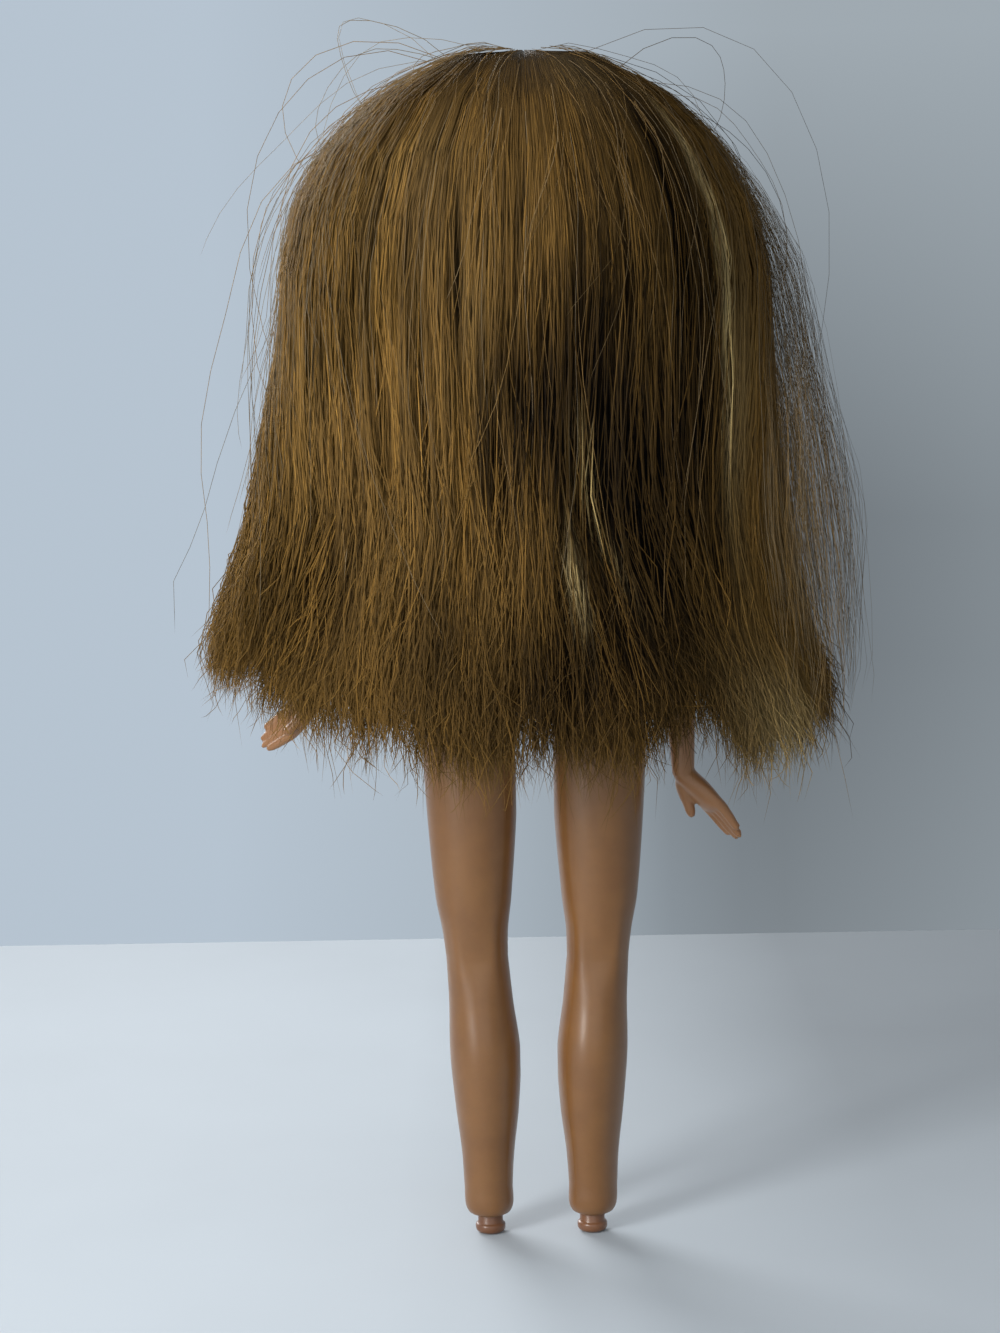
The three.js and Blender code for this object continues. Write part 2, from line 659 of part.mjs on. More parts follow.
// The rooted layer: the scalp behind the hairline, a shell on the head with an open face side.
function hairCap() {
  const columns = 28;
  const edgePolar = (turn) => along(hairlineForm, turn)[0];
  const rows = [0.03, 0.12, 0.24, 0.37, 0.5, 0.63, 0.76, 0.88, 1];
  const shell = (grow) =>
    rows.map((share) =>
      Array.from({ length: columns }, (_, k) => {
        const turn = (k / columns) * 360;
        const polar = radians(edgePolar(Math.min(turn, 360 - turn)) * share);
        const d = new THREE.Vector3(
          Math.sin(polar) * Math.sin(radians(turn)),
          Math.sin(polar) * Math.cos(radians(turn)),
          Math.cos(polar),
        );
        return d.multiplyScalar(headRadius(d.x, d.y, d.z) + grow(d)).add(headCentre);
      }),
    );
  const inside = shell(() => capClearance);
  const outside = shell((d) => capGrow(d.x * headHalfWidth));
  return loft([...outside, ...inside.reverse()]);
}

// Arms

// [x past the shoulder face, y, share of the reach, radius across, radius front to back]
const leftArmForm = [
  [4.1, 0, -0.02, 4.6, 5.2],
  [4.8, 0, 0.14, 4.1, 4.6],
  [7.6, 0.6, 0.35, 3.7, 4.0],
  [11.6, 0.8, 0.54, 3.4, 3.6],
  [17.8, -1.6, 0.74, 3.3, 3.5],
  [23.4, -4.9, 0.9, 2.7, 2.8],
  [26.6, -7.6, 1, 2.2, 2.3],
];
const rightArmForm = [
  [4.1, 0, -0.015, 4.6, 5.2],
  [4.8, 0, 0.12, 4.1, 4.6],
  [7.2, 0.6, 0.31, 3.7, 4.0],
  [9.8, 1.2, 0.49, 3.4, 3.6],
  [11.6, 0.8, 0.67, 3.3, 3.5],
  [12.4, -0.4, 0.85, 2.7, 2.8],
  [12.8, -1.2, 1, 2.2, 2.3],
];

// The arm's stations in place: [x, y, z, radius across, radius front to back].
function armPath(form, reach) {
  return form.map(([x, y, share, across, deep]) => [
    shoulderFaceX + x,
    y,
    shoulderHeight - reach * share,
    across,
    deep,
  ]);
}

// A hand from its wrist: a palm, four fingers side by side and a thumb. reach points along the
// fingers, spread across them from the thumb's side, and thick out of the back of the hand.
function hand(wrist, reach, spread, bend) {
  const r = new THREE.Vector3(...reach).normalize();
  const thick = new THREE.Vector3().crossVectors(r, new THREE.Vector3(...spread)).normalize();
  const w = new THREE.Vector3().crossVectors(thick, r).normalize();
  const base = new THREE.Vector3(...wrist);
  const at = (forth, across, up) =>
    base.clone().addScaledVector(r, forth).addScaledVector(w, across).addScaledVector(thick, up);
  const oval = (centre, half, deep, columns, way = r) => {
    const across = new THREE.Vector3().crossVectors(thick, way).normalize();
    const out = new THREE.Vector3().crossVectors(way, across).normalize();
    return Array.from({ length: columns }, (_, k) => {
      const angle = (k / columns) * 2 * Math.PI;
      return centre
        .clone()
        .addScaledVector(across, half * Math.cos(angle))
        .addScaledVector(out, deep * Math.sin(angle));
    });
  };
  const palm = loft([
    oval(at(-2, 0, 0), 2.2, 2.0, 12),
    oval(at(1.5, 0, 0), 2.7, 2.0, 12),
    oval(at(4.5, 0.1, 0), 3.7, 2.0, 12),
    oval(at(8, 0.1, 0), 4.0, 1.7, 12),
    oval(at(9.6, 0.1, 0), 3.7, 1.3, 12),
  ]);
  const fingers = [-2.85, -0.95, 0.95, 2.85].map((across, i) => {
    const length = [8.3, 9.6, 9.4, 7.5][i];
    return loft([
      oval(at(7.6, across, 0), 1.05, 1.15, 8),
      oval(at(8 + length * 0.45, across * 0.97, -bend * 0.25), 1.0, 1.05, 8),
      oval(at(8 + length * 0.85, across * 0.9, -bend * 0.8), 0.85, 0.85, 8),
      oval(at(8 + length, across * 0.87, -bend), 0.4, 0.4, 8),
    ]);
  });
  const thumbWay = r.clone().multiplyScalar(0.86);
  thumbWay.addScaledVector(w, -0.42).addScaledVector(thick, -0.48).normalize();
  const thumb = loft([
    oval(at(2.2, -1.6, -0.4), 1.5, 1.5, 8, thumbWay),
    oval(at(4.6, -3.1, -1.7), 1.3, 1.25, 8, thumbWay),
    oval(at(7.2, -4.2, -3.1), 1.0, 1.0, 8, thumbWay),
    oval(at(8.4, -4.6, -3.8), 0.45, 0.45, 8, thumbWay),
  ]);
  return joined(palm, ...fingers, thumb);
}

// The arm on the +X side, turned into the other arm by a mirror. The hand grows from the wrist.
function arm(path, fingerWay, palmWay, bend) {
  const cap = turned(
    "x",
    [
      [shoulderFaceX + runningGap, 0],
      [shoulderFaceX + runningGap, 5.3],
      [shoulderFaceX + 1.7, 6.1],
      [shoulderFaceX + 4, 6.3],
      [shoulderFaceX + 6.5, 5.6],
      [shoulderFaceX + 8.6, 3.9],
      [shoulderFaceX + 9.6, 1.6],
      [shoulderFaceX + 9.8, 0],
    ],
    18,
  ).translate([0, 0, shoulderHeight]);
  const wrist = path[path.length - 1].slice(0, 3);
  const whole = joined(cap, limb(path, 12, 14), hand(wrist, fingerWay, palmWay, bend));
  const inner = block(-beyond, shoulderFaceX + runningGap, -beyond, beyond, -beyond, beyond);
  const socket = rod("x", 0, shoulderFaceX + 5.3, shoulderPegRadius + runningGap, 14);
  return cut(whole, inner, socket.translate([0, 0, shoulderHeight]));
}

// The peg is fixed in the arm, and its flange is trapped inside the torso shells.
function shoulderPeg() {
  const profile = [
    [flangeX - flangeThickness, 0],
    [flangeX - flangeThickness, shoulderFlangeRadius],
    [flangeX, shoulderFlangeRadius],
    [flangeX, shoulderPegRadius],
    [shoulderFaceX + 5, shoulderPegRadius],
    [shoulderFaceX + 5, 0],
  ];
  return atShoulder(turned("x", profile, 14));
}

const leftArm = () =>
  arm(armPath(leftArmForm, leftReach), [0.6, -0.46, -0.62], [0.3, -0.75, 0.7], 1.6);
const rightArm = () =>
  arm(armPath(rightArmForm, rightReach), [0.67, -0.06, -0.74], [0.1, 1, 0.06], 0.8);

// Assembly

const doll = new THREE.Group();

function place(group, name, solid, material) {
  const mesh = new THREE.Mesh(geometryOf(solid), material);
  mesh.name = name;
  group.add(mesh);
}

place(doll, "torso_front", torsoFront(), skin);
place(doll, "torso_back", torsoBack(), skin);
place(doll, "neck_knob", neckKnob(), innerPlastic);
place(doll, "hip_bar", hipBar(), innerPlastic);

const head = new THREE.Group();
place(head, "head_shell", headShell(), headVinyl);
place(head, "hair_rooted_cap", hairCap(), hairFibre);
const lockTurn = (2 * hairEdgeTurn) / (2 * locksPerSide + 1);
for (let i = -locksPerSide; i <= locksPerSide; i += 1) {
  const side = i > 0 ? "left" : "right";
  const name = i === 0 ? "hair_lock_back" : `hair_lock_${side}_${Math.abs(i)}`;
  place(head, name, hairLock((i - 0.5) * lockTurn, (i + 0.5) * lockTurn), hairFibre);
}
doll.add(head);

const arms = { left: leftArm(), right: rightArm() };
for (const side of ["left", "right"]) {
  const turnedOver = (solid) => (side === "left" ? solid : solid.mirror([1, 0, 0]));
  place(doll, `${side}_arm`, turnedOver(arms[side]), skin);
  place(doll, `${side}_shoulder_peg`, turnedOver(shoulderPeg()), innerPlastic);
  place(doll, `${side}_thigh_skin`, turnedOver(thighSkin()), softSkin);
  place(doll, `${side}_knee_skin`, turnedOver(kneeSkin()), softSkin);
  place(doll, `${side}_shin_skin`, turnedOver(shinSkin()), softSkin);
  place(doll, `${side}_thigh_link`, turnedOver(thighLink()), innerPlastic);
  place(doll, `${side}_shin_link`, turnedOver(shinLink()), innerPlastic);
  place(doll, `${side}_knee_pin`, turnedOver(kneePin()), innerPlastic);
}

// The legs stand in front of the middle, so that the origin is under the middle of the whole doll.
const bounds = new THREE.Box3().setFromObject(doll);
doll.position.y = -Math.round(5 * (bounds.min.y + bounds.max.y)) / 10;

export default doll;
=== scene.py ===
import math

import bmesh
import bpy
import numpy as np
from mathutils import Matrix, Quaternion, Vector


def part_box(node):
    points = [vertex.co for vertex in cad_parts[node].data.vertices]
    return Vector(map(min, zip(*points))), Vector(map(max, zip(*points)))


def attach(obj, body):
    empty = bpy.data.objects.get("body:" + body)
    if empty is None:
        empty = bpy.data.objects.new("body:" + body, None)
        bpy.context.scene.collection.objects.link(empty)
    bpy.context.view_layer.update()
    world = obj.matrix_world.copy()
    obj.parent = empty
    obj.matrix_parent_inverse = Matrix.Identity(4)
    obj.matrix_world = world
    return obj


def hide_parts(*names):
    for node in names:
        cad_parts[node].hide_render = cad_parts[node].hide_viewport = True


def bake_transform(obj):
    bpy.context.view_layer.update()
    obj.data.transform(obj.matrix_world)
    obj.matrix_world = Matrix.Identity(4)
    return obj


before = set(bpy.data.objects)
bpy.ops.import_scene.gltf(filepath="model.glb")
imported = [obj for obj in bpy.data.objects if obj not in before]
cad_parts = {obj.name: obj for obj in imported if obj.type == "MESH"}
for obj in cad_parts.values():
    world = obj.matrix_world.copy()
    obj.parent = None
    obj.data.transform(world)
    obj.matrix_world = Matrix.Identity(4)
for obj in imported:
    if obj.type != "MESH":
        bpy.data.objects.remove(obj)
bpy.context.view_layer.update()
print("frame loaded:", len(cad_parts), "solids")

# Lengths below are millimetres in the doll's own frame: +Z up, the face towards -Y, its left side +X,
# and Y = 0 in the middle of the torso. toScene turns them into Blender's metres in the part's frame.
mm = 0.001
waistShare = 0.524  # of the way from the hips to the shoulders
headLift = 25.8  # from the top of the neck to the middle of the head


def boxOf(node):  # lowest and highest corner of a solid
    return np.array(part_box(node)) / mm


_, dollY, hipZ = boxOf("hip_bar").mean(axis=0)
kneeX, _, kneeZ = boxOf("left_knee_pin").mean(axis=0)
shoulderZ = boxOf("left_shoulder_peg").mean(axis=0)[2]
cuffZ = boxOf("left_shin_skin")[0, 2]
neckTopZ = boxOf("torso_front")[1, 2]
hubInnerX, hubOuterX = boxOf("left_thigh_skin")[:, 0]
waistZ = hipZ + waistShare * (shoulderZ - hipZ)
headZ = neckTopZ + headLift


def toScene(points):
    return (np.asarray(points, float) + [0, dollY, 0]) * mm


def mix(a, b, t):
    return a + (b - a) * t


def smooth(low, high, x):  # 0 below low, 1 above high, and an even S between them
    t = np.clip((x - low) / (high - low), 0, 1)
    return t * t * (3 - 2 * t)


def bell(x):
    return np.exp(-x * x)


def circle(count):  # angles round a ring
    return np.arange(count) / count * 2 * np.pi


def along(stations, position):
    # Values between stations [position, value, ...] on a cubic whose slope at a station is the
    # rise between its two neighbours.
    table = np.array(stations, float)
    last = len(table) - 1
    p = np.clip(np.asarray(position, float), table[0, 0], table[last, 0])
    i = np.clip(np.searchsorted(table[:, 0], p) - 1, 0, last - 1)
    before, start = table[np.maximum(i - 1, 0)], table[i]
    end, after = table[i + 1], table[np.minimum(i + 2, last)]
    span = end[..., :1] - start[..., :1]
    t = (p[..., None] - start[..., :1]) / span
    slopeIn = (end[..., 1:] - before[..., 1:]) / (end[..., :1] - before[..., :1]) * span
    slopeOut = (after[..., 1:] - start[..., 1:]) / (after[..., :1] - start[..., :1]) * span
    return (
        (2 * t**3 - 3 * t**2 + 1) * start[..., 1:]
        + (t**3 - 2 * t**2 + t) * slopeIn
        + (3 * t**2 - 2 * t**3) * end[..., 1:]
        + (t**3 - t**2) * slopeOut
    )


def putMesh(name, points, quads, triangles, colours=None, places=None, normals=None):
    # A mesh object at the origin from whole arrays: points in millimetres, corners of four-sided and
    # three-sided faces, and for hair a colour, a place in the hair and a normal for each point.
    mesh = bpy.data.meshes.new(name)
    quads = np.asarray(quads, np.int32).reshape(-1, 4)
    triangles = np.asarray(triangles, np.int32).reshape(-1, 3)
    mesh.vertices.add(len(points))
    mesh.vertices.foreach_set("co", toScene(points).astype(np.float32).ravel())
    corners = np.concatenate([quads.ravel(), triangles.ravel()])
    starts = np.concatenate(
        [np.arange(len(quads)) * 4, quads.size + np.arange(len(triangles)) * 3]
    )
    mesh.loops.add(len(corners))
    mesh.loops.foreach_set("vertex_index", corners)
    mesh.polygons.add(len(starts))
    mesh.polygons.foreach_set("loop_start", starts.astype(np.int32))
    mesh.update(calc_edges=True)
    mesh.validate()
    mesh.shade_smooth()
    if colours is not None:
        layer = mesh.attributes.new("fibreColour", "FLOAT_COLOR", "POINT")
        rgba = np.concatenate([colours, np.ones((len(colours), 1))], axis=1)
        layer.data.foreach_set("color", rgba.astype(np.float32).ravel())
        layer = mesh.attributes.new("fibrePlace", "FLOAT_VECTOR", "POINT")
        layer.data.foreach_set("vector", places.astype(np.float32).ravel())
    if normals is not None:
        mesh.normals_split_custom_set_from_vertices(normals.astype(np.float32))
    piece = bpy.data.objects.new(name, mesh)
    bpy.context.scene.collection.objects.link(piece)
    return piece


def gridFaces(rows, columns):
    # Faces of a tube whose point (row, column) is number row * columns + column. The two ends are
    # closed by fans round two more points, which are numbered last.
    r, c = np.meshgrid(np.arange(rows - 1), np.arange(columns), indexing="ij")
    n = (c + 1) % columns
    quads = np.stack(
        [r * columns + c, r * columns + n, (r + 1) * columns + n, (r + 1) * columns + c], -1
    ).reshape(-1, 4)
    j = np.arange(columns)
    k = (j + 1) % columns
    first = np.stack([np.full(columns, rows * columns), k, j], -1)
    top = (rows - 1) * columns
    final = np.stack([np.full(columns, rows * columns + 1), top + j, top + k], -1)
    return quads, np.concatenate([first, final])


def tubeOf(rings):
    # A closed skin through rings of points (rows, columns, 3), anticlockwise seen from the last ring.
    rows, columns = rings.shape[:2]
    quads, fans = gridFaces(rows, columns)
    ends = [rings[0].mean(0), rings[-1].mean(0)]
    return np.concatenate([rings.reshape(-1, 3), ends]), quads, fans


def joinArrays(parts):
    # Several (points, quads, triangles) as one, with the corner numbers moved on.
    points, quads, triangles, count = [], [], [], 0
    for p, q, t in parts:
        points.append(p)
        quads.append(np.asarray(q, int).reshape(-1, 4) + count)
        triangles.append(np.asarray(t, int).reshape(-1, 3) + count)
        count += len(p)
    return np.concatenate(points), np.concatenate(quads), np.concatenate(triangles)


def ellipseRing(z, x, y, halfWidth, front, back, angle):
    # Level rings: x by the half-width and the cosine, y by the front or back reach and the sine.
    z, x, y, halfWidth, front, back = (
        np.asarray(v, float)[..., None] for v in (z, x, y, halfWidth, front, back)
    )
    reach = np.where(np.sin(angle) < 0, front, back)
    px = x + halfWidth * np.cos(angle)
    py = y + reach * np.sin(angle)
    return np.stack([px, py, np.broadcast_to(z, px.shape)], -1)


def lathe(axis, profile, segments, centre=(0, 0, 0)):
    # A round solid about a line along X or Z, from [distance along the line, radius] pairs.
    at, radius = np.array(profile, float).T
    angle = circle(segments)
    flat = np.broadcast_to(at[:, None], (len(at), segments))
    a, b = radius[:, None] * np.cos(angle), radius[:, None] * np.sin(angle)
    rings = np.stack([flat, a, b] if axis == "x" else [a, b, flat], -1)
    return tubeOf(rings + np.array(centre, float))


def settle(piece):
    # The piece keeps what its modifiers make, and has no modifiers left.
    graph = bpy.context.evaluated_depsgraph_get()
    made = bpy.data.meshes.new_from_object(piece.evaluated_get(graph))
    piece.modifiers.clear()
    old = piece.data
    piece.data = made
    bpy.data.meshes.remove(old)
    return piece


def remeshed(piece, voxel, rounds):
    # One even skin round everything in the piece, with its steps smoothed away.
    skin = piece.modifiers.new("skin", "REMESH")
    skin.mode = "VOXEL"
    skin.voxel_size = voxel * mm
    skin.use_smooth_shade = True
    soften = piece.modifiers.new("soften", "SMOOTH")
    soften.factor = 0.5
    soften.iterations = rounds
    return settle(piece)


def sidedMesh(side, name, arrays):
    # A mesh made for the doll's left side, mirrored with its faces turned for the right one.
    points, quads, fans = arrays
    if side == "right":
        points, quads, fans = points * [-1, 1, 1], quads[:, ::-1], fans[:, ::-1]
    return putMesh(f"{side}_{name}", points, quads, fans)


# Materials

def plug(tree, node, inputs):
    # Links a field or a node's output to each of the node's inputs, or sets a constant there.
    for key, value in inputs.items():
        if isinstance(value, Field):
            value = value.socket
        if isinstance(value, bpy.types.NodeSocket):
            tree.links.new(value, node.inputs[key])
        else:
            node.inputs[key].default_value = value
    return node


def addNode(tree, kind, inputs, **settings):
    made = tree.nodes.new("ShaderNode" + kind)
    for key, value in settings.items():
        setattr(made, key, value)
    return plug(tree, made, inputs)


def newMaterial(name, inputs):
    material = bpy.data.materials.new(name)
    material.use_nodes = True
    tree = material.node_tree
    return material, tree, plug(tree, tree.nodes["Principled BSDF"], inputs)


class Field:
    # A number that a tree's nodes work out at each point, so that its formula can be written out.
    def __init__(self, tree, socket):
        self.tree = tree
        self.socket = socket

    def maths(self, operation, *others):
        made = addNode(self.tree, "Math", dict(enumerate([self, *others])), operation=operation)
        return Field(self.tree, made.outputs[0])

    def remap(self, low, high, toLow=0.0, toHigh=1.0):
        made = addNode(self.tree, "MapRange", dict(enumerate([self, low, high, toLow, toHigh])))
        return Field(self.tree, made.outputs[0])

    def __add__(self, other):
        return self.maths("ADD", other)

    def __sub__(self, other):
        return self.maths("SUBTRACT", other)

    def __rsub__(self, other):
        return self * -1.0 + other

    def __mul__(self, other):
        return self.maths("MULTIPLY", other)

    def __truediv__(self, other):
        return self.maths("DIVIDE", other)

    def __abs__(self):
        return self.maths("ABSOLUTE")


def fieldsOf(tree, vector):  # its x, y and z
    return [Field(tree, part) for part in addNode(tree, "SeparateXYZ", {0: vector}).outputs]


def blendColour(tree, share, a, b, mode="MIX"):
    return addNode(tree, "Mix", {0: share, 6: a, 7: b}, data_type="RGBA", blend_type=mode).outputs[2]


def shadeColour(tree, colour, change):  # the colour times a number
    grey = addNode(tree, "CombineColor", {0: change, 1: change, 2: change}).outputs[0]
    return blendColour(tree, 1.0, colour, grey, "MULTIPLY")


def noise(tree, where, scale, detail=3.0, rough=0.55):
    inputs = {"Vector": where, "Scale": scale, "Detail": detail, "Roughness": rough}
    return Field(tree, addNode(tree, "TexNoise", inputs).outputs["Fac"])


def bump(tree, height, strength, distance):
    inputs = {"Height": height, "Strength": strength, "Distance": distance * mm}
    return addNode(tree, "Bump", inputs).outputs["Normal"]


def dollPoint(tree):  # Object coordinates
    return addNode(tree, "TexCoord", {}).outputs["Object"]


# How light scatters inside soft vinyl.
soft = {"Subsurface Radius": (1.0, 0.45, 0.25), "Subsurface Scale": 1.6 * mm}
# colour, a deeper colour for the mottling, roughness low and high, coat, share that scatters inside
vinylLooks = {
    "legVinyl": [(0.224, 0.1, 0.027, 1), (0.19, 0.081, 0.021, 1), (0.36, 0.44), 0.4, 0.1],
    "armVinyl": [(0.31, 0.15, 0.062, 1), (0.26, 0.118, 0.045, 1), (0.4, 0.5), 0.1, 0.1],
    "bodyPlastic": [(0.27, 0.125, 0.052, 1), (0.23, 0.1, 0.04, 1), (0.33, 0.43), 0.2, 0.0],
    "innerPlastic": [(0.25, 0.113, 0.047, 1), (0.2, 0.086, 0.034, 1), (0.42, 0.55), 0.0, 0.0],
    "pegPlastic": [(0.205, 0.088, 0.038, 1), (0.16, 0.064, 0.026, 1), (0.3, 0.4), 0.3, 0.0],
}


def vinyl(name, base, deep, rough, coat, inside):
    # Moulded vinyl or plastic: cloudy mottling between two tones, a fine grain and a satin gloss that
    # varies with the handling marks.
    inputs = {"Coat Weight": coat, "Coat Roughness": 0.24, "Subsurface Weight": inside, **soft}
    material, tree, shader = newMaterial(name, inputs)
    where = dollPoint(tree)
    clouds, fine = noise(tree, where, 130.0, 4.0), noise(tree, where, 1500.0, 2.0)
    plug(tree, shader, {
        "Base Color": blendColour(tree, fine * 0.3 + clouds.remap(0.35, 0.7), base, deep),
        "Roughness": clouds.remap(0.3, 0.7, *rough),
        "Normal": bump(tree, fine, 0.12, 0.03),
    })
    return material


looks = {name: vinyl(name, *values) for name, values in vinylLooks.items()}


def hairMaterial():
    # Nylon fibre: the colour comes from each fibre's own attribute, with streaks that run along the
    # fall. A fibre's place is its turn in degrees, its fall and its depth.
    material, tree, shader = newMaterial("hairFibre", {"Specular IOR Level": 0.06})
    own = addNode(tree, "Attribute", {}, attribute_name="fibreColour").outputs["Color"]
    place = addNode(tree, "Attribute", {}, attribute_name="fibrePlace").outputs["Vector"]

    def streaks(scale, *form):
        drawn = addNode(tree, "VectorMath", {0: place, 1: scale}, operation="MULTIPLY").outputs[0]
        return noise(tree, drawn, 1.0, *form)

    fine, broad = streaks((3.4, 5.0, 3.0), 4.0, 0.65), streaks((0.5, 2.2, 1.0), 2.0)
    change = fine.remap(0.32, 0.68, 0.72, 1.28) * broad.remap(0.3, 0.7, 0.82, 1.18)
    plug(tree, shader, {
        "Base Color": shadeColour(tree, own, change),
        "Roughness": fine.remap(0.3, 0.7, 0.4, 0.55),
        "Normal": bump(tree, fine, 0.6, 0.12),
    })
    return material


looks["hairFibre"] = hairMaterial()
print("materials made:", len(looks))


def finishPiece(piece, material, slotName, *nodes):
    piece.data.materials.clear()
    piece.data.materials.append(looks[material])
    if nodes:
        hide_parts(*nodes)
    return piece


# Head

head = dict(
    halfWidth=28.5, front=26.0, back=27.5, up=30.5, down=28.6,
    columns=220, rows=170, crowd=0.55, neckRing=4.9, neckDeep=4.0,
)

# Forms of the face: how far out, angle across, its spread, angle up, its spread, in radians. One off
# the middle stands on both sides. Chin, nose, its bridge, mouth, eye hollows, cheeks:
faceForms = [
    [2.6, 0, 0.3, -0.92, 0.24], [2.5, 0, 0.12, -0.36, 0.13], [0.9, 0, 0.13, -0.16, 0.2],
    [1.7, 0, 0.17, -0.64, 0.085], [-1.0, 0.42, 0.24, -0.08, 0.17], [0.9, 0.5, 0.25, -0.42, 0.2],
]
# Eyeballs under the lids, wings of the nose, between the lips, under the nose, under the lower lip:
fineForms = [
    [0.9, 0.41, 0.16, -0.085, 0.1], [0.35, 0.1, 0.045, -0.41, 0.05], [-0.5, 0, 0.13, -0.645, 0.014],
    [-0.25, 0, 0.03, -0.53, 0.045], [-0.4, 0, 0.16, -0.76, 0.05],
]


def headRadius(dx, dy, dz, forms=faceForms):
    # From the head's centre to its skin along a unit direction: an ellipsoid that narrows downwards,
    # and on the face side bells over the angle across and the angle up for each form.
    low = np.clip(-dz, 0, 1)
    width = head["halfWidth"] * (1 - 0.3 * low**1.6)
    deep = np.where(dy < 0, head["front"], head["back"] * (1 - 0.18 * low**1.5))
    high = np.where(dz > 0, head["up"], head["down"])
    base = 1 / np.sqrt((dx / width) ** 2 + (dy / deep) ** 2 + (dz / high) ** 2)
    across, up = np.arctan2(dx, -dy), np.arcsin(np.clip(dz, -1, 1))
    face = 0
    for out, at, spread, atUp, upSpread in forms:
        sides = bell((across - at) / spread) + (bell((across + at) / spread) if at else 0)
        face = face + out * sides * bell((up - atUp) / upSpread)
    return base + np.where(dy > 0, 0, face)


def headSkin():
    # Rings round the head from below to above, whose columns crowd towards the face.
    share = circle(head["columns"])
    turn = share - head["crowd"] * np.sin(share) - np.pi / 2
    polar = np.pi * (1 - np.clip(np.linspace(0, 1, head["rows"]), 0.004, 0.996))[:, None]
    d = np.stack(
        [np.sin(polar) * np.cos(turn), np.sin(polar) * np.sin(turn), np.cos(polar) + 0 * turn], -1
    )
    rings = d * headRadius(*np.moveaxis(d, -1, 0), faceForms + fineForms)[..., None]
    # The skin turns up into the head round the neck.
    radial, ring = np.hypot(rings[..., 0], rings[..., 1]), head["neckRing"]
    turnedUp = head["neckDeep"] * smooth(ring + 0.5, ring - 0.3, radial)
    rings[..., 2] += np.where(rings[..., 2] < 0, turnedUp, 0)
    return rings + [0, 0, headZ]


faceLooks = dict(
    skin=(0.37, 0.197, 0.108, 1), blush=(0.52, 0.17, 0.11, 1), lip=(0.42, 0.075, 0.06, 1),
    white=(0.8, 0.78, 0.74, 1), iris=(0.045, 0.11, 0.16, 1), pupil=(0.008, 0.007, 0.007, 1),
    line=(0.02, 0.012, 0.008, 1), brow=(0.11, 0.055, 0.022, 1), lid=(0.2, 0.26, 0.3, 1),
    frontFrom=-8, frontTo=-12, eyeAcross=10.4, eyeUp=-2.3, eyeHalf=4.1, browUp=4.3,
    lipUp=-16.6, lipHalf=4.7, cheekAcross=14.5, cheekUp=-10.5, cheekHalf=(8, 6),
)


def faceMaterial():
    # Painted head vinyl. u runs across from an eye's middle outwards, and v up, both in eye
    # half-widths. The eye is the space between two curves a(1 - u^2) and -b(1 - u^2).
    f = faceLooks
    material, tree, shader = newMaterial("headVinyl", {"Subsurface Weight": 0.1, **soft})
    where = dollPoint(tree)
    x, y, z = fieldsOf(tree, where)
    front = y.remap((dollY + f["frontFrom"]) * mm, (dollY + f["frontTo"]) * mm)
    side = abs(x)

    def upFrom(place):  # height over one of the places, which are given from the head's middle
        return z - (headZ + f[place]) * mm

    def within(value, edge=0.04):  # 1 where the value is over 0, with a soft edge
        return value.remap(-edge, edge)

    def roundSpot(atU, atV, radius, tall=1.0):
        du, dv = u - atU, (v - atV) / tall
        return within(radius - (du * du + dv * dv).maths("SQRT"))

    u = (side - f["eyeAcross"] * mm) / (f["eyeHalf"] * mm)
    v = upFrom("eyeUp") / (f["eyeHalf"] * mm) - u * 0.12
    arch = 1 - u * u
    upper, lower = arch * 0.72 - v, arch * 0.5 + v
    eye = within(upper) * within(lower)
    iris = roundSpot(0.02, 0.08, 0.5, 1.08) * eye
    pupil = roundSpot(0.02, 0.1, 0.24, 1.1) * eye
    glint = roundSpot(-0.14, 0.3, 0.1) * eye
    lash = within(u.remap(-1.0, 1.1, 0.06, 0.26) - abs(upper + 0.08)) * within(u + 1.02) * within(1.26 - u)
    below = within(0.045 - abs(lower)) * within(u + 0.2) * within(1.0 - u)
    shadow = within(0.5 - abs(upper + 0.35), 0.3) * within(arch + 0.35, 0.3)
    browLine = v - f["browUp"] / f["eyeHalf"] + u * u * 0.22
    brow = within(u.remap(-1.0, 1.3, 0.13, 0.035) - abs(browLine), 0.06)
    brow = brow * within(u + 1.0) * within(1.3 - u) * noise(tree, where, 2600.0).remap(0.35, 0.6, 0.55, 1.0)
    # Lips: a cupid's bow above and one curve below.
    lipU, lipV = side / (f["lipHalf"] * mm), upFrom("lipUp") / (f["lipHalf"] * mm)
    lipArch, dip = 1 - lipU * lipU, lipU - 0.3
    lips = within(lipArch * 0.36 - dip * dip * 0.35 - lipV) * within(lipArch * 0.42 + lipV)
    cheekU = (side - f["cheekAcross"] * mm) / (f["cheekHalf"][0] * mm)
    cheekV = upFrom("cheekUp") / (f["cheekHalf"][1] * mm)
    blush = (cheekU * cheekU + cheekV * cheekV).remap(1.0, 0.0) * 0.35
    colour = shadeColour(tree, f["skin"], noise(tree, where, 120.0, 4.0).remap(0.3, 0.7, 0.93, 1.07))
    layers = [
        (blush, "blush"), (shadow * 0.35, "lid"), (brow, "brow"), (eye, "white"), (iris, "iris"),
        (pupil, "pupil"), (glint, "white"), (below, "line"), (lash, "line"), (lips, "lip"),
    ]
    for share, paint in layers:
        colour = blendColour(tree, share * front, colour, f[paint])
    painted = eye.maths("MAXIMUM", lips) * front
    plug(tree, shader, {"Base Color": colour, "Roughness": painted.remap(0, 1, 0.5, 0.22)})
    return material


looks["headVinyl"] = faceMaterial()
headPiece = putMesh("head_skin", *tubeOf(headSkin()))
finishPiece(headPiece, "headVinyl", "head_vinyl", "head_shell")
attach(headPiece, "head")
print("head made:", len(headPiece.data.polygons), "faces")


# Hair

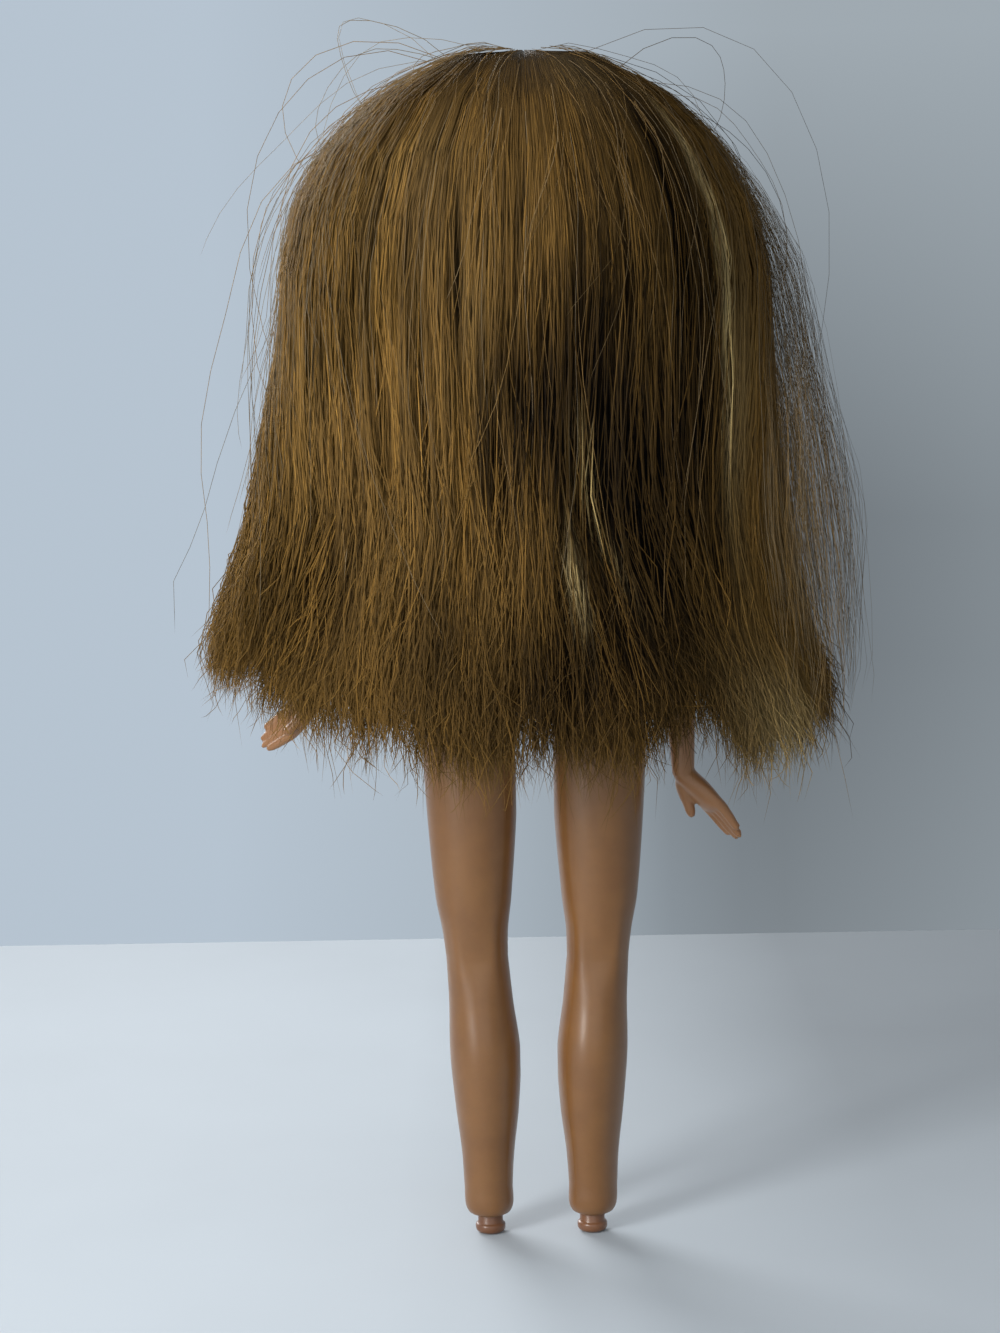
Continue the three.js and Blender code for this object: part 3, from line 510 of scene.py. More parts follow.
# Heights are from the head's middle, turns in degrees from the back. The hair rises to topRise at
# the part, is widest at dropToHang under the middle, and hangs from there to the hem. squareOver
# and squareDown under 1 square the crown, and leastThick is how far it stays off the scalp.
hair = dict(
    topRise=34.5, dropToHang=14.0, hang=91.0, frontReach=22.0, innerFront=0.7, partBackY=4.0,
    partFrontY=-20.0, partTurn=50, edgeTurn=128.0, locks=11, hangTurn=0.81, drawnIn=2.2,
    scalpDepth=1.3, partRidge=1.2, scalpGap=0.7, partHalf=0.12, partDip=0.4, hump=1.0, whorl=2.6,
    squareOver=0.93, squareDown=0.92, leastThick=1.1, crownSlack=1.5,
    seed=20, tresses=118, clumpsEach=8, clumpSpread=1.25, radius=0.11, evenLight=0.6, hemFall=1.96,
    underEdge=124.5, shortOpenings=90, partTufts=700, tuftRadius=0.12, wisps=900, wispRadius=0.03,
    flyaways=330, looseRings=11, looseRadius=0.06, looseHalfWidth=71, looseTop=44,
)
# Fibres that grow from the part, that begin down the length, and near the ends: how many, rings of
# each, the falls between which they start, the share of their depth at which they do and the fall
# over which they rise to it, the share that crosses the others, how far all slant and lie outwards,
# how much the ends curl in millimetres, and the fall from which they do.
families = [
    dict(count=9400, rings=12, roots=(0.0, 0.04), rise=(0.62, 0.1), strays=0.16, slant=0,
         outwards=0, curl=0.6, curlFrom=1.5),
    dict(count=8800, rings=9, roots=(0.7, 1.25), rise=(0.45, 0.45), strays=0.32, slant=0,
         outwards=0, curl=0.8, curlFrom=1.4),
    dict(count=4600, rings=10, roots=(1.25, 1.72), rise=(0.45, 0.45), strays=0.5, slant=1.8,
         outwards=0.6, curl=1.3, curlFrom=1.2),
]
# A fibre's spread of turn and of depth in its clump, how far strays cross, the share of fibres that
# keep their gold over the openings and their tint, how deep the others sink there, and the spread
# of their tints.
growth = dict(
    turnSpread=1.2, depthSpread=0.05, strayTurn=9.0, strayLift=0.04, overShare=0.07, overTint=1.25,
    sink=0.32, tintSpread=0.13,
)
hairWidest = headZ - hair["dropToHang"]
headCentre = np.array([0, 0, headZ])
# [way down the hang, outer half-width, reach to the back, inner half-width, inner reach to the back]
hairForm = [
    [0, 47, 38, 29.5, 27], [0.1, 48.5, 36.5, 33.5, 20], [0.23, 51, 35, 38, 14.5],
    [0.44, 54.5, 33, 40, 14.5], [0.66, 60, 32.5, 43, 15], [0.78, 62.5, 33, 46.5, 15],
    [0.9, 62, 33.5, 50, 15], [1.1, 60, 33, 50.5, 15],
]
# [degrees from the back at the hem, to the doll's left, how far down the hang the hem is there]
hemForm = [
    [-104, 0.86], [-84, 0.89], [-66, 0.95], [-49, 0.98], [-36, 0.9], [-28, 0.91], [-16, 0.97],
    [0, 0.95], [12, 0.97], [30, 0.91], [50, 0.87], [70, 0.83], [86, 0.79], [104, 0.78],
]
# [way down the hang, share of the full width that the dense hair on the doll's right takes]
rightForm = [
    [0, 0.98], [0.15, 0.955], [0.3, 0.92], [0.49, 0.89], [0.7, 0.865], [0.84, 0.92], [0.95, 0.98],
    [1.1, 0.98],
]
# [fall, depth] that the thin hair outside the dense hair on the doll's right reaches
wispForm = [[0, 1], [0.5, 1.05], [0.8, 1.3], [1, 1.55], [1.3, 1.75], [1.5, 1.68], [1.75, 1.32], [2, 1.2]]
# [degrees from the back, degrees down from the crown] along the hairline
hairlineForm = [[0, 118], [60, 114], [100, 98], [130, 70], [160, 46], [180, 42]]


def scalpGrow(x):
    return hair["scalpDepth"] + hair["partRidge"] * bell(x / 6)


def unit(v):
    return v / np.maximum(np.linalg.norm(v, axis=-1, keepdims=True), 1e-9)


def scalpPoint(towards, grow):
    # The point of the head under another one, moved out by grow. Where that is in front of the face,
    # it keeps to the radius at the face's side, so that no form of the face pushes the hair out.
    d = unit(towards - headCentre)
    reach = headRadius(d[..., 0], np.maximum(d[..., 1], -0.86), d[..., 2]) + grow
    return d * reach[..., None] + headCentre


def hairPoint(turn, fall, depth, dense=1.0):
    # Where hair lies: turn is in degrees from the back to the doll's left, fall runs from the part (0)
    # over the widest height (1) to the hem (2), and depth from the inner side (0) to the outer (1).
    # Over the crown it is a slightly squared quarter ellipse from the part to the widest ring, below
    # it the ring changes by hairForm. dense is 1 for the dense hair, which is narrower on the
    # doll's right.
    side = np.where(turn < 0, -1.0, 1.0)
    away = np.abs(turn)
    hang = np.maximum(fall - 1, 0)
    drawn = turn * mix(1, hair["hangTurn"], np.clip(hang * hair["drawnIn"], 0, 1))
    way = hang * along(hemForm, turn * hair["hangTurn"])[..., 0]
    outX, outY, inX, inY = np.moveaxis(along(hairForm, way), -1, 0)
    narrow = mix(1, along(rightForm, way)[..., 0], dense * smooth(20, 65, -turn))
    s, c = np.sin(np.radians(drawn)), np.cos(np.radians(drawn))
    z = hairWidest - hair["hang"] * way
    outer = np.stack([outX * narrow * s, np.where(c > 0, outY, hair["frontReach"]) * c, z], -1)
    innerFront = hair["frontReach"] * hair["innerFront"]
    inner = np.stack([inX * s, np.where(c > 0, inY, innerFront) * c, z], -1)
    lift = np.clip(fall, 0, 1) * np.pi / 2
    forward = np.clip((away - hair["partTurn"]) / (hair["edgeTurn"] - hair["partTurn"]), 0, 1)
    rootY = mix(hair["partBackY"], hair["partFrontY"], forward)
    rootZ = headZ + hair["topRise"] * np.sqrt(1 - (rootY / head["up"]) ** 2)
    rootX = side * hair["partHalf"] + hair["whorl"] * np.sin(np.radians(turn)) * smooth(62, 22, away)
    over = np.sin(lift) ** hair["squareOver"]
    down = np.maximum(np.cos(lift), 0) ** hair["squareDown"]
    hump = hair["hump"] * bell((fall - 0.12) / 0.08) * smooth(12, 50, away)
    dome = np.stack(
        [mix(rootX, outer[..., 0], over), mix(rootY, outer[..., 1], over),
         mix(hairWidest, rootZ, down) + hump - hair["partDip"] * bell(fall / 0.02)], -1)
    scalp = scalpPoint(dome, scalpGrow(dome[..., 0]) + hair["scalpGap"])
    high, low = (np.linalg.norm(points - headCentre, axis=-1) for points in (dome, scalp))
    thin = hair["leastThick"] - high + low
    dome = dome + unit(dome - headCentre) * np.maximum(thin, 0)[..., None]
    leave = np.clip((fall - 0.75) / 0.25, 0, 1)[..., None] ** 2
    onDome = (fall < 1)[..., None]
    outer = np.where(onDome, dome, outer)
    inner = np.where(onDome, mix(scalp, inner, leave), inner)
    return mix(inner, outer, np.asarray(depth)[..., None])


random = np.random.default_rng(hair["seed"])


def phases(*shape):
    return random.uniform(0, 2 * np.pi, shape)


ripplePhase = phases(12)


def ripple(turn, fall):
    # A slow uneven swell over the hair, about -1 to 1: long waves across, drawn out down the fall.
    waves = 0
    for i, (across, down) in enumerate([(0.11, 1.3), (0.19, 2.1), (0.31, 1.7), (0.52, 2.9)]):
        waves = waves + np.sin(turn * across + fall * down + ripplePhase[i]) * np.sin(
            turn * across * 0.6 - fall * down * 1.4 + ripplePhase[i + 4]
        )
    return waves / 2


# Places where the golden outer hair lies apart and sinks, and the brown hair under it shows, which is
# so dark that it is partly painted shade in the gap: turn, its spread, fall, its spread, how far it
# opens.
openings = [
    [17, 1.2, 0.93, 0.14, 1], [-37.5, 2.4, 0.58, 0.17, 0.9], [-39.5, 3, 0.84, 0.15, 1],
    [-43, 4, 1.06, 0.15, 1], [-46, 6, 1.25, 0.17, 1], [-4, 7, 1.1, 0.11, 0.85],
    [-18, 8, 1.13, 0.13, 0.95], [-13, 8, 1.3, 0.1, 0.9], [-27, 9, 1.36, 0.14, 1],
    [-38, 10, 1.33, 0.2, 1], [-52, 8, 1.42, 0.15, 0.7], [-31, 10, 1.55, 0.13, 1],
    [-17, 5, 1.45, 0.09, 0.8], [-6, 4, 1.66, 0.06, 0.8], [-19, 8, 1.74, 0.1, 0.9],
    [-8, 6, 1.83, 0.07, 0.8], [-43, 10, 1.64, 0.11, 0.7], [60, 10, 1.62, 0.1, 0.6],
    [52, 7, 1.72, 0.1, 0.6], [68, 8, 1.82, 0.11, 0.5], [36, 2, 1.3, 0.2, 0.4],
    [6, 1.5, 0.8, 0.16, 0.4], [29, 1.2, 0.85, 0.14, 0.4], [-13, 1.3, 0.8, 0.14, 0.5],
    [-23, 1.3, 0.86, 0.16, 0.6], [46, 1.6, 1.1, 0.16, 0.4],
]
# and many short narrow ones anywhere
openings += np.stack([
    random.uniform(low, high, hair["shortOpenings"])
    for low, high in [(-110, 110), (0.5, 1.3), (0.5, 1.85), (0.05, 0.16), (0.35, 0.9)]], -1).tolist()
# Paler locks, and painted highlights where the wide ones lie at turns 35 and -24, on the dome's
# left shoulder and on the crown: turn at fall 1, degrees that it moves for each unit of fall, spread,
# fall, its spread, how pale.
paleLocksAndHighlights = [
    [-56, -15, 1.5, 0.8, 0.22, 1.3], [-54.5, -9, 1.1, 1.12, 0.17, 1.0],
    [2.5, -41, 0.9, 1.45, 0.12, 0.6], [4.6, -24, 1.3, 1.59, 0.06, 0.7],
    # The wide ones at turns 35 and -24 are painted highlights.
    [-66, 0, 13, 1.94, 0.13, 0.5], [35, 0, 24, 0.68, 0.16, 0.05], [-24, 0, 14, 0.32, 0.13, 0.06],
    [13, 0, 3.5, 1.03, 0.12, 0.05], [-62, 0, 5, 1.2, 0.3, 0.2],
]
# Where whole locks are darker, partly darker hair and partly painted shade of their hollows: turn, its
# spread, fall, its spread, how much.
darkHairAndShadeZones = [
    [-38, 4.5, 0.6, 0.2, 0.7], [-41, 6, 0.88, 0.2, 0.85], [-43, 9, 1.15, 0.18, 0.8],
    [-7, 13, 1.17, 0.18, 0.96], [-34, 19, 1.4, 0.24, 0.96], [-32, 17, 1.75, 0.18, 0.65],
    [64, 16, 1.7, 0.15, 0.4], [17, 1.6, 0.94, 0.17, 0.9], [-16, 6, 1.38, 0.2, 0.9],
    [-5, 12, 1.8, 0.08, 0.35], [-12, 4, 0.95, 0.2, 0.5], [-8, 7, 1.74, 0.15, 0.65],
    [-50, 7, 1.52, 0.12, 0.6], [22, 7, 0.72, 0.25, 0.25], [20, 6, 1.7, 0.14, 0.4],
    [47, 7, 1.7, 0.13, 0.3], [1, 8, 1.2, 0.14, 0.92], [-15, 7, 1.28, 0.2, 0.85],
    [40, 1.4, 0.86, 0.09, 0.7], [29, 1.2, 0.9, 0.07, 0.7], [45, 2.2, 0.95, 0.06, 0.5],
    [2, 1.6, 0.78, 0.12, 0.5], [-17, 1.5, 0.75, 0.12, 0.6], [52, 6, 1.55, 0.12, 0.4],
    [13, 18, 1.8, 0.14, 0.4],
]
# brown, the hair under the gold, is near black: partly its own colour and partly painted shade where the
# openings show it.
hairTones = dict(
    gold=(0.19, 0.108, 0.029), brown=(0.009, 0.005, 0.0024), pale=(0.62, 0.475, 0.225),
    grey=(0.17, 0.135, 0.085), root=(0.042, 0.026, 0.009), inner=(0.085, 0.051, 0.018),
)
tones = {name: np.array(tone) for name, tone in hairTones.items()}


def openness(turn, fall):
    total = 0
    for at, spread, fallAt, fallSpread, amount in openings:
        total = total + amount * bell((turn - at) / spread) * bell((fall - fallAt) / fallSpread)
    return np.clip(total, 0, 1)


def paleness(turn, fall):
    total = 0
    for at, lean, spread, fallAt, fallSpread, amount in paleLocksAndHighlights:
        middle = at + lean * (fall - 1)
        total = total + amount * bell((turn - middle) / spread) * bell((fall - fallAt) / fallSpread)
    return np.clip(total, 0, 1)


def darkness(turn, fall, shift):
    # How dark the zones make the hair, 0 to 1, partly darker hair and partly painted shade. A tress
    # moves a wide zone's edge by its shift.
    light = 1
    for at, spread, fallAt, fallSpread, amount in darkHairAndShadeZones:
        moved = shift * min(spread / 10, 1)
        near = bell((turn + moved - at) / spread) * bell((fall + 0.015 * moved - fallAt) / fallSpread)
        light = light * (1 - amount * near)
    return 1 - light


def toneAndPaintedShade(turn, fall):
    # The hair is darker right of the middle, partly its own tone and partly painted shade away from the
    # light on the doll's left, darker over the crown, painted shade where no light falls from above, and
    # darker towards the hem. It is lighter again near its right edge and at one place on the left.
    # Partly painted shade on the doll's right.
    tone = mix(1.02, 0.7, smooth(28, -20, turn)) * mix(1, 1.4, smooth(-48, -66, turn))
    tone = tone * (1 + 0.25 * bell((turn - 62) / 14) * bell((fall - 1.15) / 0.25))
    # Painted shade over the crown, and darker towards the hem.
    tone = tone * mix(0.3, 1, smooth(0.2, 0.82, fall)) * mix(1, 0.84, smooth(1.25, 1.75, fall))
    return tone


def fibreColour(turn, fall, depth, tint, over, shift=0):
    # Brown inside and gold outside, darker at the roots and golden again at the ends, darker where a
    # dark zone lies, partly darker hair and partly painted shade, and pale where a pale lock or a
    # painted highlight lies. over is 1 for a fibre that keeps its gold across the openings, tint is
    # each fibre's own, about 1, and shift is how far its tress takes the dark zones along, in degrees.
    shown = smooth(0.4, 0.85, depth) * (1 - 0.97 * (1 - over) * openness(turn, fall))
    shown = shown + (1 - shown) * smooth(1.82, 2.0, fall) * 0.5
    # Darker hair and painted shade of the dark zones.
    dark = darkness(turn, fall, shift) * (1 - 0.2 * over)
    gold = tones["gold"] * (toneAndPaintedShade(turn, fall) * (1 - dark))[..., None]
    edge = smooth(112, 122, np.abs(turn))
    # The near-black brown under the gold is partly painted shade where the openings show it.
    under = mix(tones["inner"], tones["brown"], (smooth(0.3, 0.65, depth) * (1 - edge))[..., None])
    colour = mix(under, gold, np.clip(shown, 0, 1)[..., None]) * (1 - 0.35 * dark)[..., None]
    colour = mix(colour, tones["root"], (smooth(0.45, 0.0, fall) * 0.8)[..., None])
    # Paler locks, and painted highlights.
    colour = mix(colour, tones["pale"], (paleness(turn, fall) * smooth(0.4, 0.9, depth))[..., None])
    tint = np.asarray(tint)[..., None]
    warmth = mix(np.array([0.97, 1.0, 1.12]), np.array([1.04, 1.0, 0.86]), np.clip(tint - 0.5, 0, 1))
    return colour * tint * warmth


def strandArrays(paths, radii, outward):
    # Thin three-sided fibres along paths (fibres, rings + 1, 3). The last point is the pointed tip.
    # A point's normal is drawn from the fibre's own towards the hair's outward one.
    body = paths[:, :-1]
    count, rings = body.shape[:2]
    way = unit(np.gradient(paths, axis=1))[:, :-1]
    across = unit(np.cross(way, np.array([0.31, 0.92, 0.23])))
    out = np.cross(way, across)
    angle = circle(3)
    ring = np.cos(angle)[:, None] * across[:, :, None] + np.sin(angle)[:, None] * out[:, :, None]
    skin = body[:, :, None] + ring * radii[:, :-1, None, None]
    points = np.concatenate([skin.reshape(count, -1, 3), paths[:, -1:]], axis=1)
    facing = unit(mix(ring, outward[:, :-1, None], hair["evenLight"]))
    normals = np.concatenate([facing.reshape(count, -1, 3), outward[:, -1:]], axis=1)
    each = rings * 3 + 1
    r, c = np.meshgrid(np.arange(rings - 1), np.arange(3), indexing="ij")
    n = (c + 1) % 3
    quads = np.stack([r * 3 + c, r * 3 + n, r * 3 + 3 + n, r * 3 + 3 + c], -1).reshape(-1, 4)
    end = (rings - 1) * 3
    fans = np.array([[0, 2, 1]] + [[end + k, end + (k + 1) % 3, each - 1] for k in range(3)])
    offset = (np.arange(count) * each)[:, None, None]
    quads, fans = (quads + offset).reshape(-1, 4), (fans + offset).reshape(-1, 3)
    return (points.reshape(-1, 3), quads, fans), normals.reshape(-1, 3)


def strandValues(values):
    # A value for each point of strandArrays, from one for each point of the paths.
    body = np.repeat(values[:, :-1], 3, axis=1)
    return np.concatenate([body, values[:, -1:]], axis=1).reshape(-1, 3)


def fibreSet(turn, fall, depth, paths, radii, colours):
    # What the fibres' mesh needs: their faces, and a colour, a place and a normal for each point.
    turn, fall, depth = np.broadcast_arrays(turn, fall, depth)
    outward = unit(hairPoint(turn, fall, 1 + 0 * fall) - hairPoint(turn, fall, 0 * fall))
    arrays, normals = strandArrays(paths, radii, outward)
    return arrays, strandValues(colours), strandValues(np.stack([turn, fall, depth], -1)), normals


def hairPiece(name, sets):
    arrays, *values = zip(*sets)
    return putMesh(name, *joinArrays(arrays), *(np.concatenate(value) for value in values))


def fallSteps(start, tip, rings):
    # Falls along each fibre, closer together towards its tip.
    t = np.linspace(0, 1, rings + 1)
    spaced = 1 - (1 - t) ** 1.3
    return start[:, None] + (tip - start)[:, None] * spaced


def makeClumps():
    # Fibres grow in tresses and finer clumps. Each clump has a turn, a depth, and what its fibres
    # share: where they end, how they swell and drift down the fall, and their tint.
    tresses, count = hair["tresses"], hair["tresses"] * hair["clumpsEach"]
    spacing = 2 * hair["edgeTurn"] / tresses
    tress = (np.arange(tresses) + 0.5) * spacing - hair["edgeTurn"]
    tress = tress + random.uniform(-0.4, 0.4, tresses) * spacing
    mine = np.repeat(np.arange(tresses), hair["clumpsEach"])
    phase = phases(tresses)
    outside = 1 - 0.17 * random.random(count) ** 1.2
    # Clumps at the hair's front edges lie at every depth, so that the edge is hair too.
    atEdge = smooth(116, 123, np.abs(tress[mine])) * 0.7
    turn = tress[mine] + random.normal(0, hair["clumpSpread"], count)
    isOutside = random.random(count) < 0.84 - atEdge
    depth = np.where(isOutside, outside, random.random(count) * mix(0.7, 1, atEdge))

    def varied(byTress, byClump):
        return random.normal(0, byTress, tresses)[mine] + random.normal(0, byClump, count)

    return dict(
        turn=turn, depth=depth, hem=varied(0.02, 0.025),
        swell=random.normal(0, 0.055, tresses)[mine], wave=varied(1.1, 0.4), phase=phase[mine],
        shift=varied(4, 1.5), drift=varied(1.8, 1.3),
        tint=np.clip(random.normal(1, 0.14, tresses)[mine] * random.normal(1, 0.12, count), 0.55, 1.5),
    )


def tipFalls(clump, turn0, depth0, start):
    # Where fibres end: about the hem, a tenth of them higher up and a few just below it, and a
    # little higher at the doll's left side and over the thin hair on its right.
    count = len(start)
    tip = hair["hemFall"] + clump["hem"] + random.normal(0, 0.035, count) - 0.05 * (depth0 < 0.5)
    tip = tip - 0.13 * bell((turn0 - 82) / 17)
    tip = np.where(random.random(count) < 0.1, random.uniform(1.5, 1.95, count), tip)
    tip = tip + np.where(random.random(count) < 0.03, random.uniform(0.02, 0.09, count), 0)
    tip = tip - np.abs(random.normal(0, 0.06, count)) * (turn0 < -48)
    return np.maximum(tip, start + 0.15)


def curls(fall, phase, curl, curlFrom):
    # What moves a fibre's points off its smooth way, in millimetres: frizz at the ends, waves down
    # the length, and hooks of the ends by curl from the fall curlFrom on.
    count = len(fall)

    def anyWay(size=1):
        return random.normal(0, size, (count, 1, 3))

    bend = (np.clip(fall - curlFrom, 0, 1) / (2 - curlFrom))[..., None] ** 1.7
    size = np.where(random.random(count) < 0.3, 1.6, 0.8)[:, None, None]
    frizz = anyWay() * [1.3, 0.8, 0.9] * size * bend
    loose = np.sin(fall * 22 + phase[3])[..., None] * anyWay(0.8) * [1, 0.6, 0.5]
    spin = fall * random.uniform(20, 36, (count, 1)) + phase[4]
    hook = np.sin(spin)[..., None] * anyWay() + np.cos(spin)[..., None] * anyWay()
    return frizz + hook * curl * np.minimum(bend, 1.2) + loose * smooth(1.0, 1.7, fall)[..., None]


def denseFibres(clumps, count, rings, roots, rise, strays, slant, outwards, curl, curlFrom):
    # A fibre starts beside its clump's middle and rises through the hair to its own depth. It is
    # drawn to the clump's middle, waves with its tress and wanders a little, and crosses the others
    # if it is one of the strays.
    mine = random.integers(0, len(clumps["turn"]), count)
    clump = {name: values[mine] for name, values in clumps.items()}
    besideTurn = random.normal(0, growth["turnSpread"], count)
    besideDepth = random.normal(0, growth["depthSpread"], count)
    limit = hair["edgeTurn"] - 1
    turn0 = np.clip(clump["turn"] + besideTurn, -limit, limit)
    depth0 = np.clip(clump["depth"] + besideDepth, 0.02, 1.02)
    start = random.uniform(*roots, count)
    fall = fallSteps(start, tipFalls(clump, turn0, depth0, start), rings)
    gone = fall - start[:, None]
    early, late = smooth(0.15, 0.9, fall), smooth(0.9, 2.0, fall)
    phase = phases(5, count, 1)
    wander = 0.6 * np.sin(fall * 5.5 + phase[0]) + 0.4 * np.sin(fall * 12 + phase[1])
    wander = wander * mix(1, 2.2, smooth(1.2, 1.9, fall))
    stray = random.random(count) < strays
    crossing = random.normal(0, 1, count) * np.where(stray, growth["strayTurn"], 1.0)
    turn = turn0[:, None] - (besideTurn * 0.6)[:, None] * late + wander * early
    tressWave = np.sin(fall * 4.6 + clump["phase"][:, None]) * clump["wave"][:, None]
    turn = turn + (clump["drift"] + crossing)[:, None] * late + tressWave * early
    turn = turn + (crossing * slant)[:, None] * (gone / gone[:, -1:] - 0.35)
    depth0 = mix(depth0, 1.04, outwards)
    # The lower hair on the doll's right sweeps outwards, and a little of it on the left.
    sweep = 20 * bell((turn + 34) / 12) + 9 * bell((turn + 14) / 10)
    turn = turn - sweep * smooth(1.28, 1.95, fall) * random.uniform(0.6, 1.1, (count, 1))
    turn = turn + 4 * bell((turn - 58) / 18) * smooth(1.4, 1.95, fall)
    turn = np.clip(turn, -limit - 2, limit + 2)
    over = (random.random(count) < growth["overShare"])[:, None]
    opened = openness(turn, fall) * (1 - over)
    risen = mix(rise[0], 1, smooth(0, rise[1], gone))
    swell = 0.04 * ripple(turn0[:, None], fall) + 0.015 * np.sin(fall * 9 + phase[2])
    swell = swell + clump["swell"][:, None] * np.sin(fall * 4 + clump["phase"][:, None])
    lifted = swell + growth["strayLift"] * stray[:, None]
    lifted = lifted - growth["sink"] * opened * smooth(0.5, 0.9, depth0)[:, None]
    depth = np.clip(depth0[:, None] * risen + lifted * early, 0, 1.08)
    paths = hairPoint(turn, fall, depth)
    paths = paths + curls(fall, phase, curl, curlFrom)
    paths[..., 2] = np.minimum(paths[..., 2], headZ + hair["topRise"] + hair["crownSlack"])
    tint = clump["tint"] * np.clip(random.normal(1, growth["tintSpread"], count), 0.6, 1.6)
    tint = np.where(over[:, 0], tint * growth["overTint"], tint)
    across = np.broadcast_to(depth0[:, None], fall.shape)
    colours = fibreColour(turn, fall, across, tint[:, None] + 0 * fall, over, clump["shift"][:, None])
    radii = hair["radius"] * random.uniform(0.72, 1.15, (count, 1)) * (1 - 0.4 * smooth(1.5, 2.0, fall))
    return turn0, (turn, fall, across, paths, radii, colours)


def looseColours(count, shape):
    tone = mix(tones["grey"], tones["gold"], random.random((count, 1)))
    return np.broadcast_to((tone * random.uniform(0.7, 1.3, (count, 1)))[:, None], shape)


def waves(way, pace, phase):
    return np.stack([np.sin(way * pace + start) for start in phase], -1)


def wispFibres():
    # Thin see-through hair outside the dense hair on the doll's right, denser on its inner side.
    count = hair["wisps"]
    turn0 = -random.uniform(66, 118, count)
    start = random.uniform(0.03, 0.3, count)
    fall = fallSteps(start, random.uniform(1.5, 2.0, count), hair["looseRings"])
    phase = phases(3, count, 1)
    turn = turn0[:, None] + random.normal(0, 5, (count, 1)) * smooth(0.6, 1.9, fall)
    share = (random.random((count, 1)) ** 2.1) * (1 + 0.08 * np.sin(fall * 6 + phase[0]))
    depth = mix(0.62, along(wispForm, fall)[..., 0], share * smooth(0.1, 0.6, fall))
    paths = hairPoint(turn, fall, depth, 0.0)
    paths = paths + waves(fall, 8, phase) * 0.5 * smooth(0.5, 1.5, fall)[..., None]
    paths = paths + random.normal(0, 1.6, (count, 1, 3)) * smooth(1.5, 2.0, fall)[..., None] ** 2
    radii = hair["wispRadius"] * random.uniform(0.7, 1.2, (count, 1)) + 0 * fall
    # The wisps' colour is 1.3 times brighter, painted light, since they hang in shade.
    return turn, fall, depth, paths, radii, looseColours(count, paths.shape) * 1.3


def flyawayFibres():
    # Single fibres that arch off the crown and the sides and end in the air, a few of them far out.
    count = hair["flyaways"]
    atLeft = random.random(count) < 0.6
    turn0 = np.where(atLeft, random.uniform(50, 118, count), random.uniform(-118, 118, count))
    start = random.uniform(0.02, 0.6, count)
    fall = fallSteps(start, start + random.uniform(0.4, 1.35, count), hair["looseRings"])
    fall = np.minimum(fall, 1.97)
    gone = (fall - start[:, None]) / (fall[:, -1:] - start[:, None])
    turn = np.clip(turn0[:, None] + random.normal(0, 10, (count, 1)) * gone**1.5, -120, 120)
    paths = hairPoint(turn, fall, np.ones_like(fall), 0.5)
    outward = unit((paths - [0, 0, hairWidest - 20]) * [1, 0.8, 0.9])
    far = (random.random(count) < 0.16) & (np.abs(turn0) > 55) & (start > 0.1)
    reach = np.where(far, random.uniform(5, 20, count), random.uniform(0.3, 2.8, count))
    reach = np.minimum(reach, hair["looseHalfWidth"] + 1 - np.abs(paths[..., 0]).max(axis=1))
    lift = np.sin(np.pi * gone**0.9) * random.uniform(0.2, 1, (count, 1))
    lift = lift + random.uniform(0, 1, (count, 1)) * gone**2
    waving = waves(gone, 9, phases(3, count, 1)) * gone[..., None] * 1.5
    ends = random.normal(0, 1, (count, 1, 3)) * (reach * 0.8)[:, None, None] * gone[..., None] ** 3
    paths = paths + outward * (reach[:, None] * lift)[..., None] + waving + ends
    paths[..., 0] = np.clip(paths[..., 0], -hair["looseHalfWidth"], hair["looseHalfWidth"])
    paths[..., 2] = np.minimum(paths[..., 2], headZ + hair["looseTop"])
    radii = hair["looseRadius"] * random.uniform(0.8, 1.3, (count, 1)) * (1 - 0.3 * gone)
    return turn, fall, 1 + 0 * fall, paths, radii, looseColours(count, paths.shape)


def hairShell(axis, skins, shades, places, outward, endShade):
    # What hairPiece needs of a closed shell: faces, and a colour, a place and a normal for each
    # point. Each of skins, shades and places is a pair, for the outer skin and for the inner one,
    # which turns back along the axis. Two more points close the ends.
    def folded(outer, inner):
        return np.concatenate([outer, np.flip(inner, axis)], axis)

    def flat(pair, ends):
        return np.concatenate([folded(*pair).reshape(-1, 3), ends])

    normals = flat((outward, -outward), [[0, 0, 1], [0, 0, -1]])
    return tubeOf(folded(*skins)), flat(shades, [endShade] * 2), flat(places, np.zeros((2, 3))), normals


def underLock(fromTurn, toTurn):
    # The mass inside one lock: a grooved wedge from the scalp to above the hem, streaked with gold
    # and sunk and brown where the outer hair lies apart.
    columns, rows = 30, 64
    falls = 0.002 + 1.858 * np.linspace(0, 1, rows)[:, None] ** 1.15
    share = np.linspace(0.004, 0.996, columns)[None, :]
    turn = mix(fromTurn, toTurn, share) + 0 * falls
    falls = falls + 0 * turn
    opened = openness(turn, falls)
    groove = random.normal(0, 0.02, (1, columns)) + 0.012 * np.sin(falls * 14 + share * 40)
    outer = mix(0.45, 0.87, smooth(0.02, 0.5, falls)) + groove + 0.035 * ripple(turn, falls) - 0.3 * opened
    thin = smooth(1.66, 1.86, falls)
    outer, inner = mix(outer, 0.5, thin), mix(0.2, 0.46, thin)
    outside, inside = hairPoint(turn, falls, outer), hairPoint(turn, falls, inner)
    outward = unit(outside - inside)
    tint = np.clip(random.normal(0.95, 0.16, (1, columns)), 0.5, 1.3) + 0 * falls
    colours = fibreColour(turn, falls, 0.66 + 0 * turn, tint, 0, random.normal(0, 3, (1, columns)))
    dark, places = tones["inner"], np.stack([turn, falls, outer], -1)
    return hairShell(1, (outside, inside), (colours, dark + 0 * colours), (places, places), outward, dark)


def lockName(i):
    return f"hair_lock_{'left' if i > 0 else 'right'}_{abs(i)}" if i else "hair_lock_back"


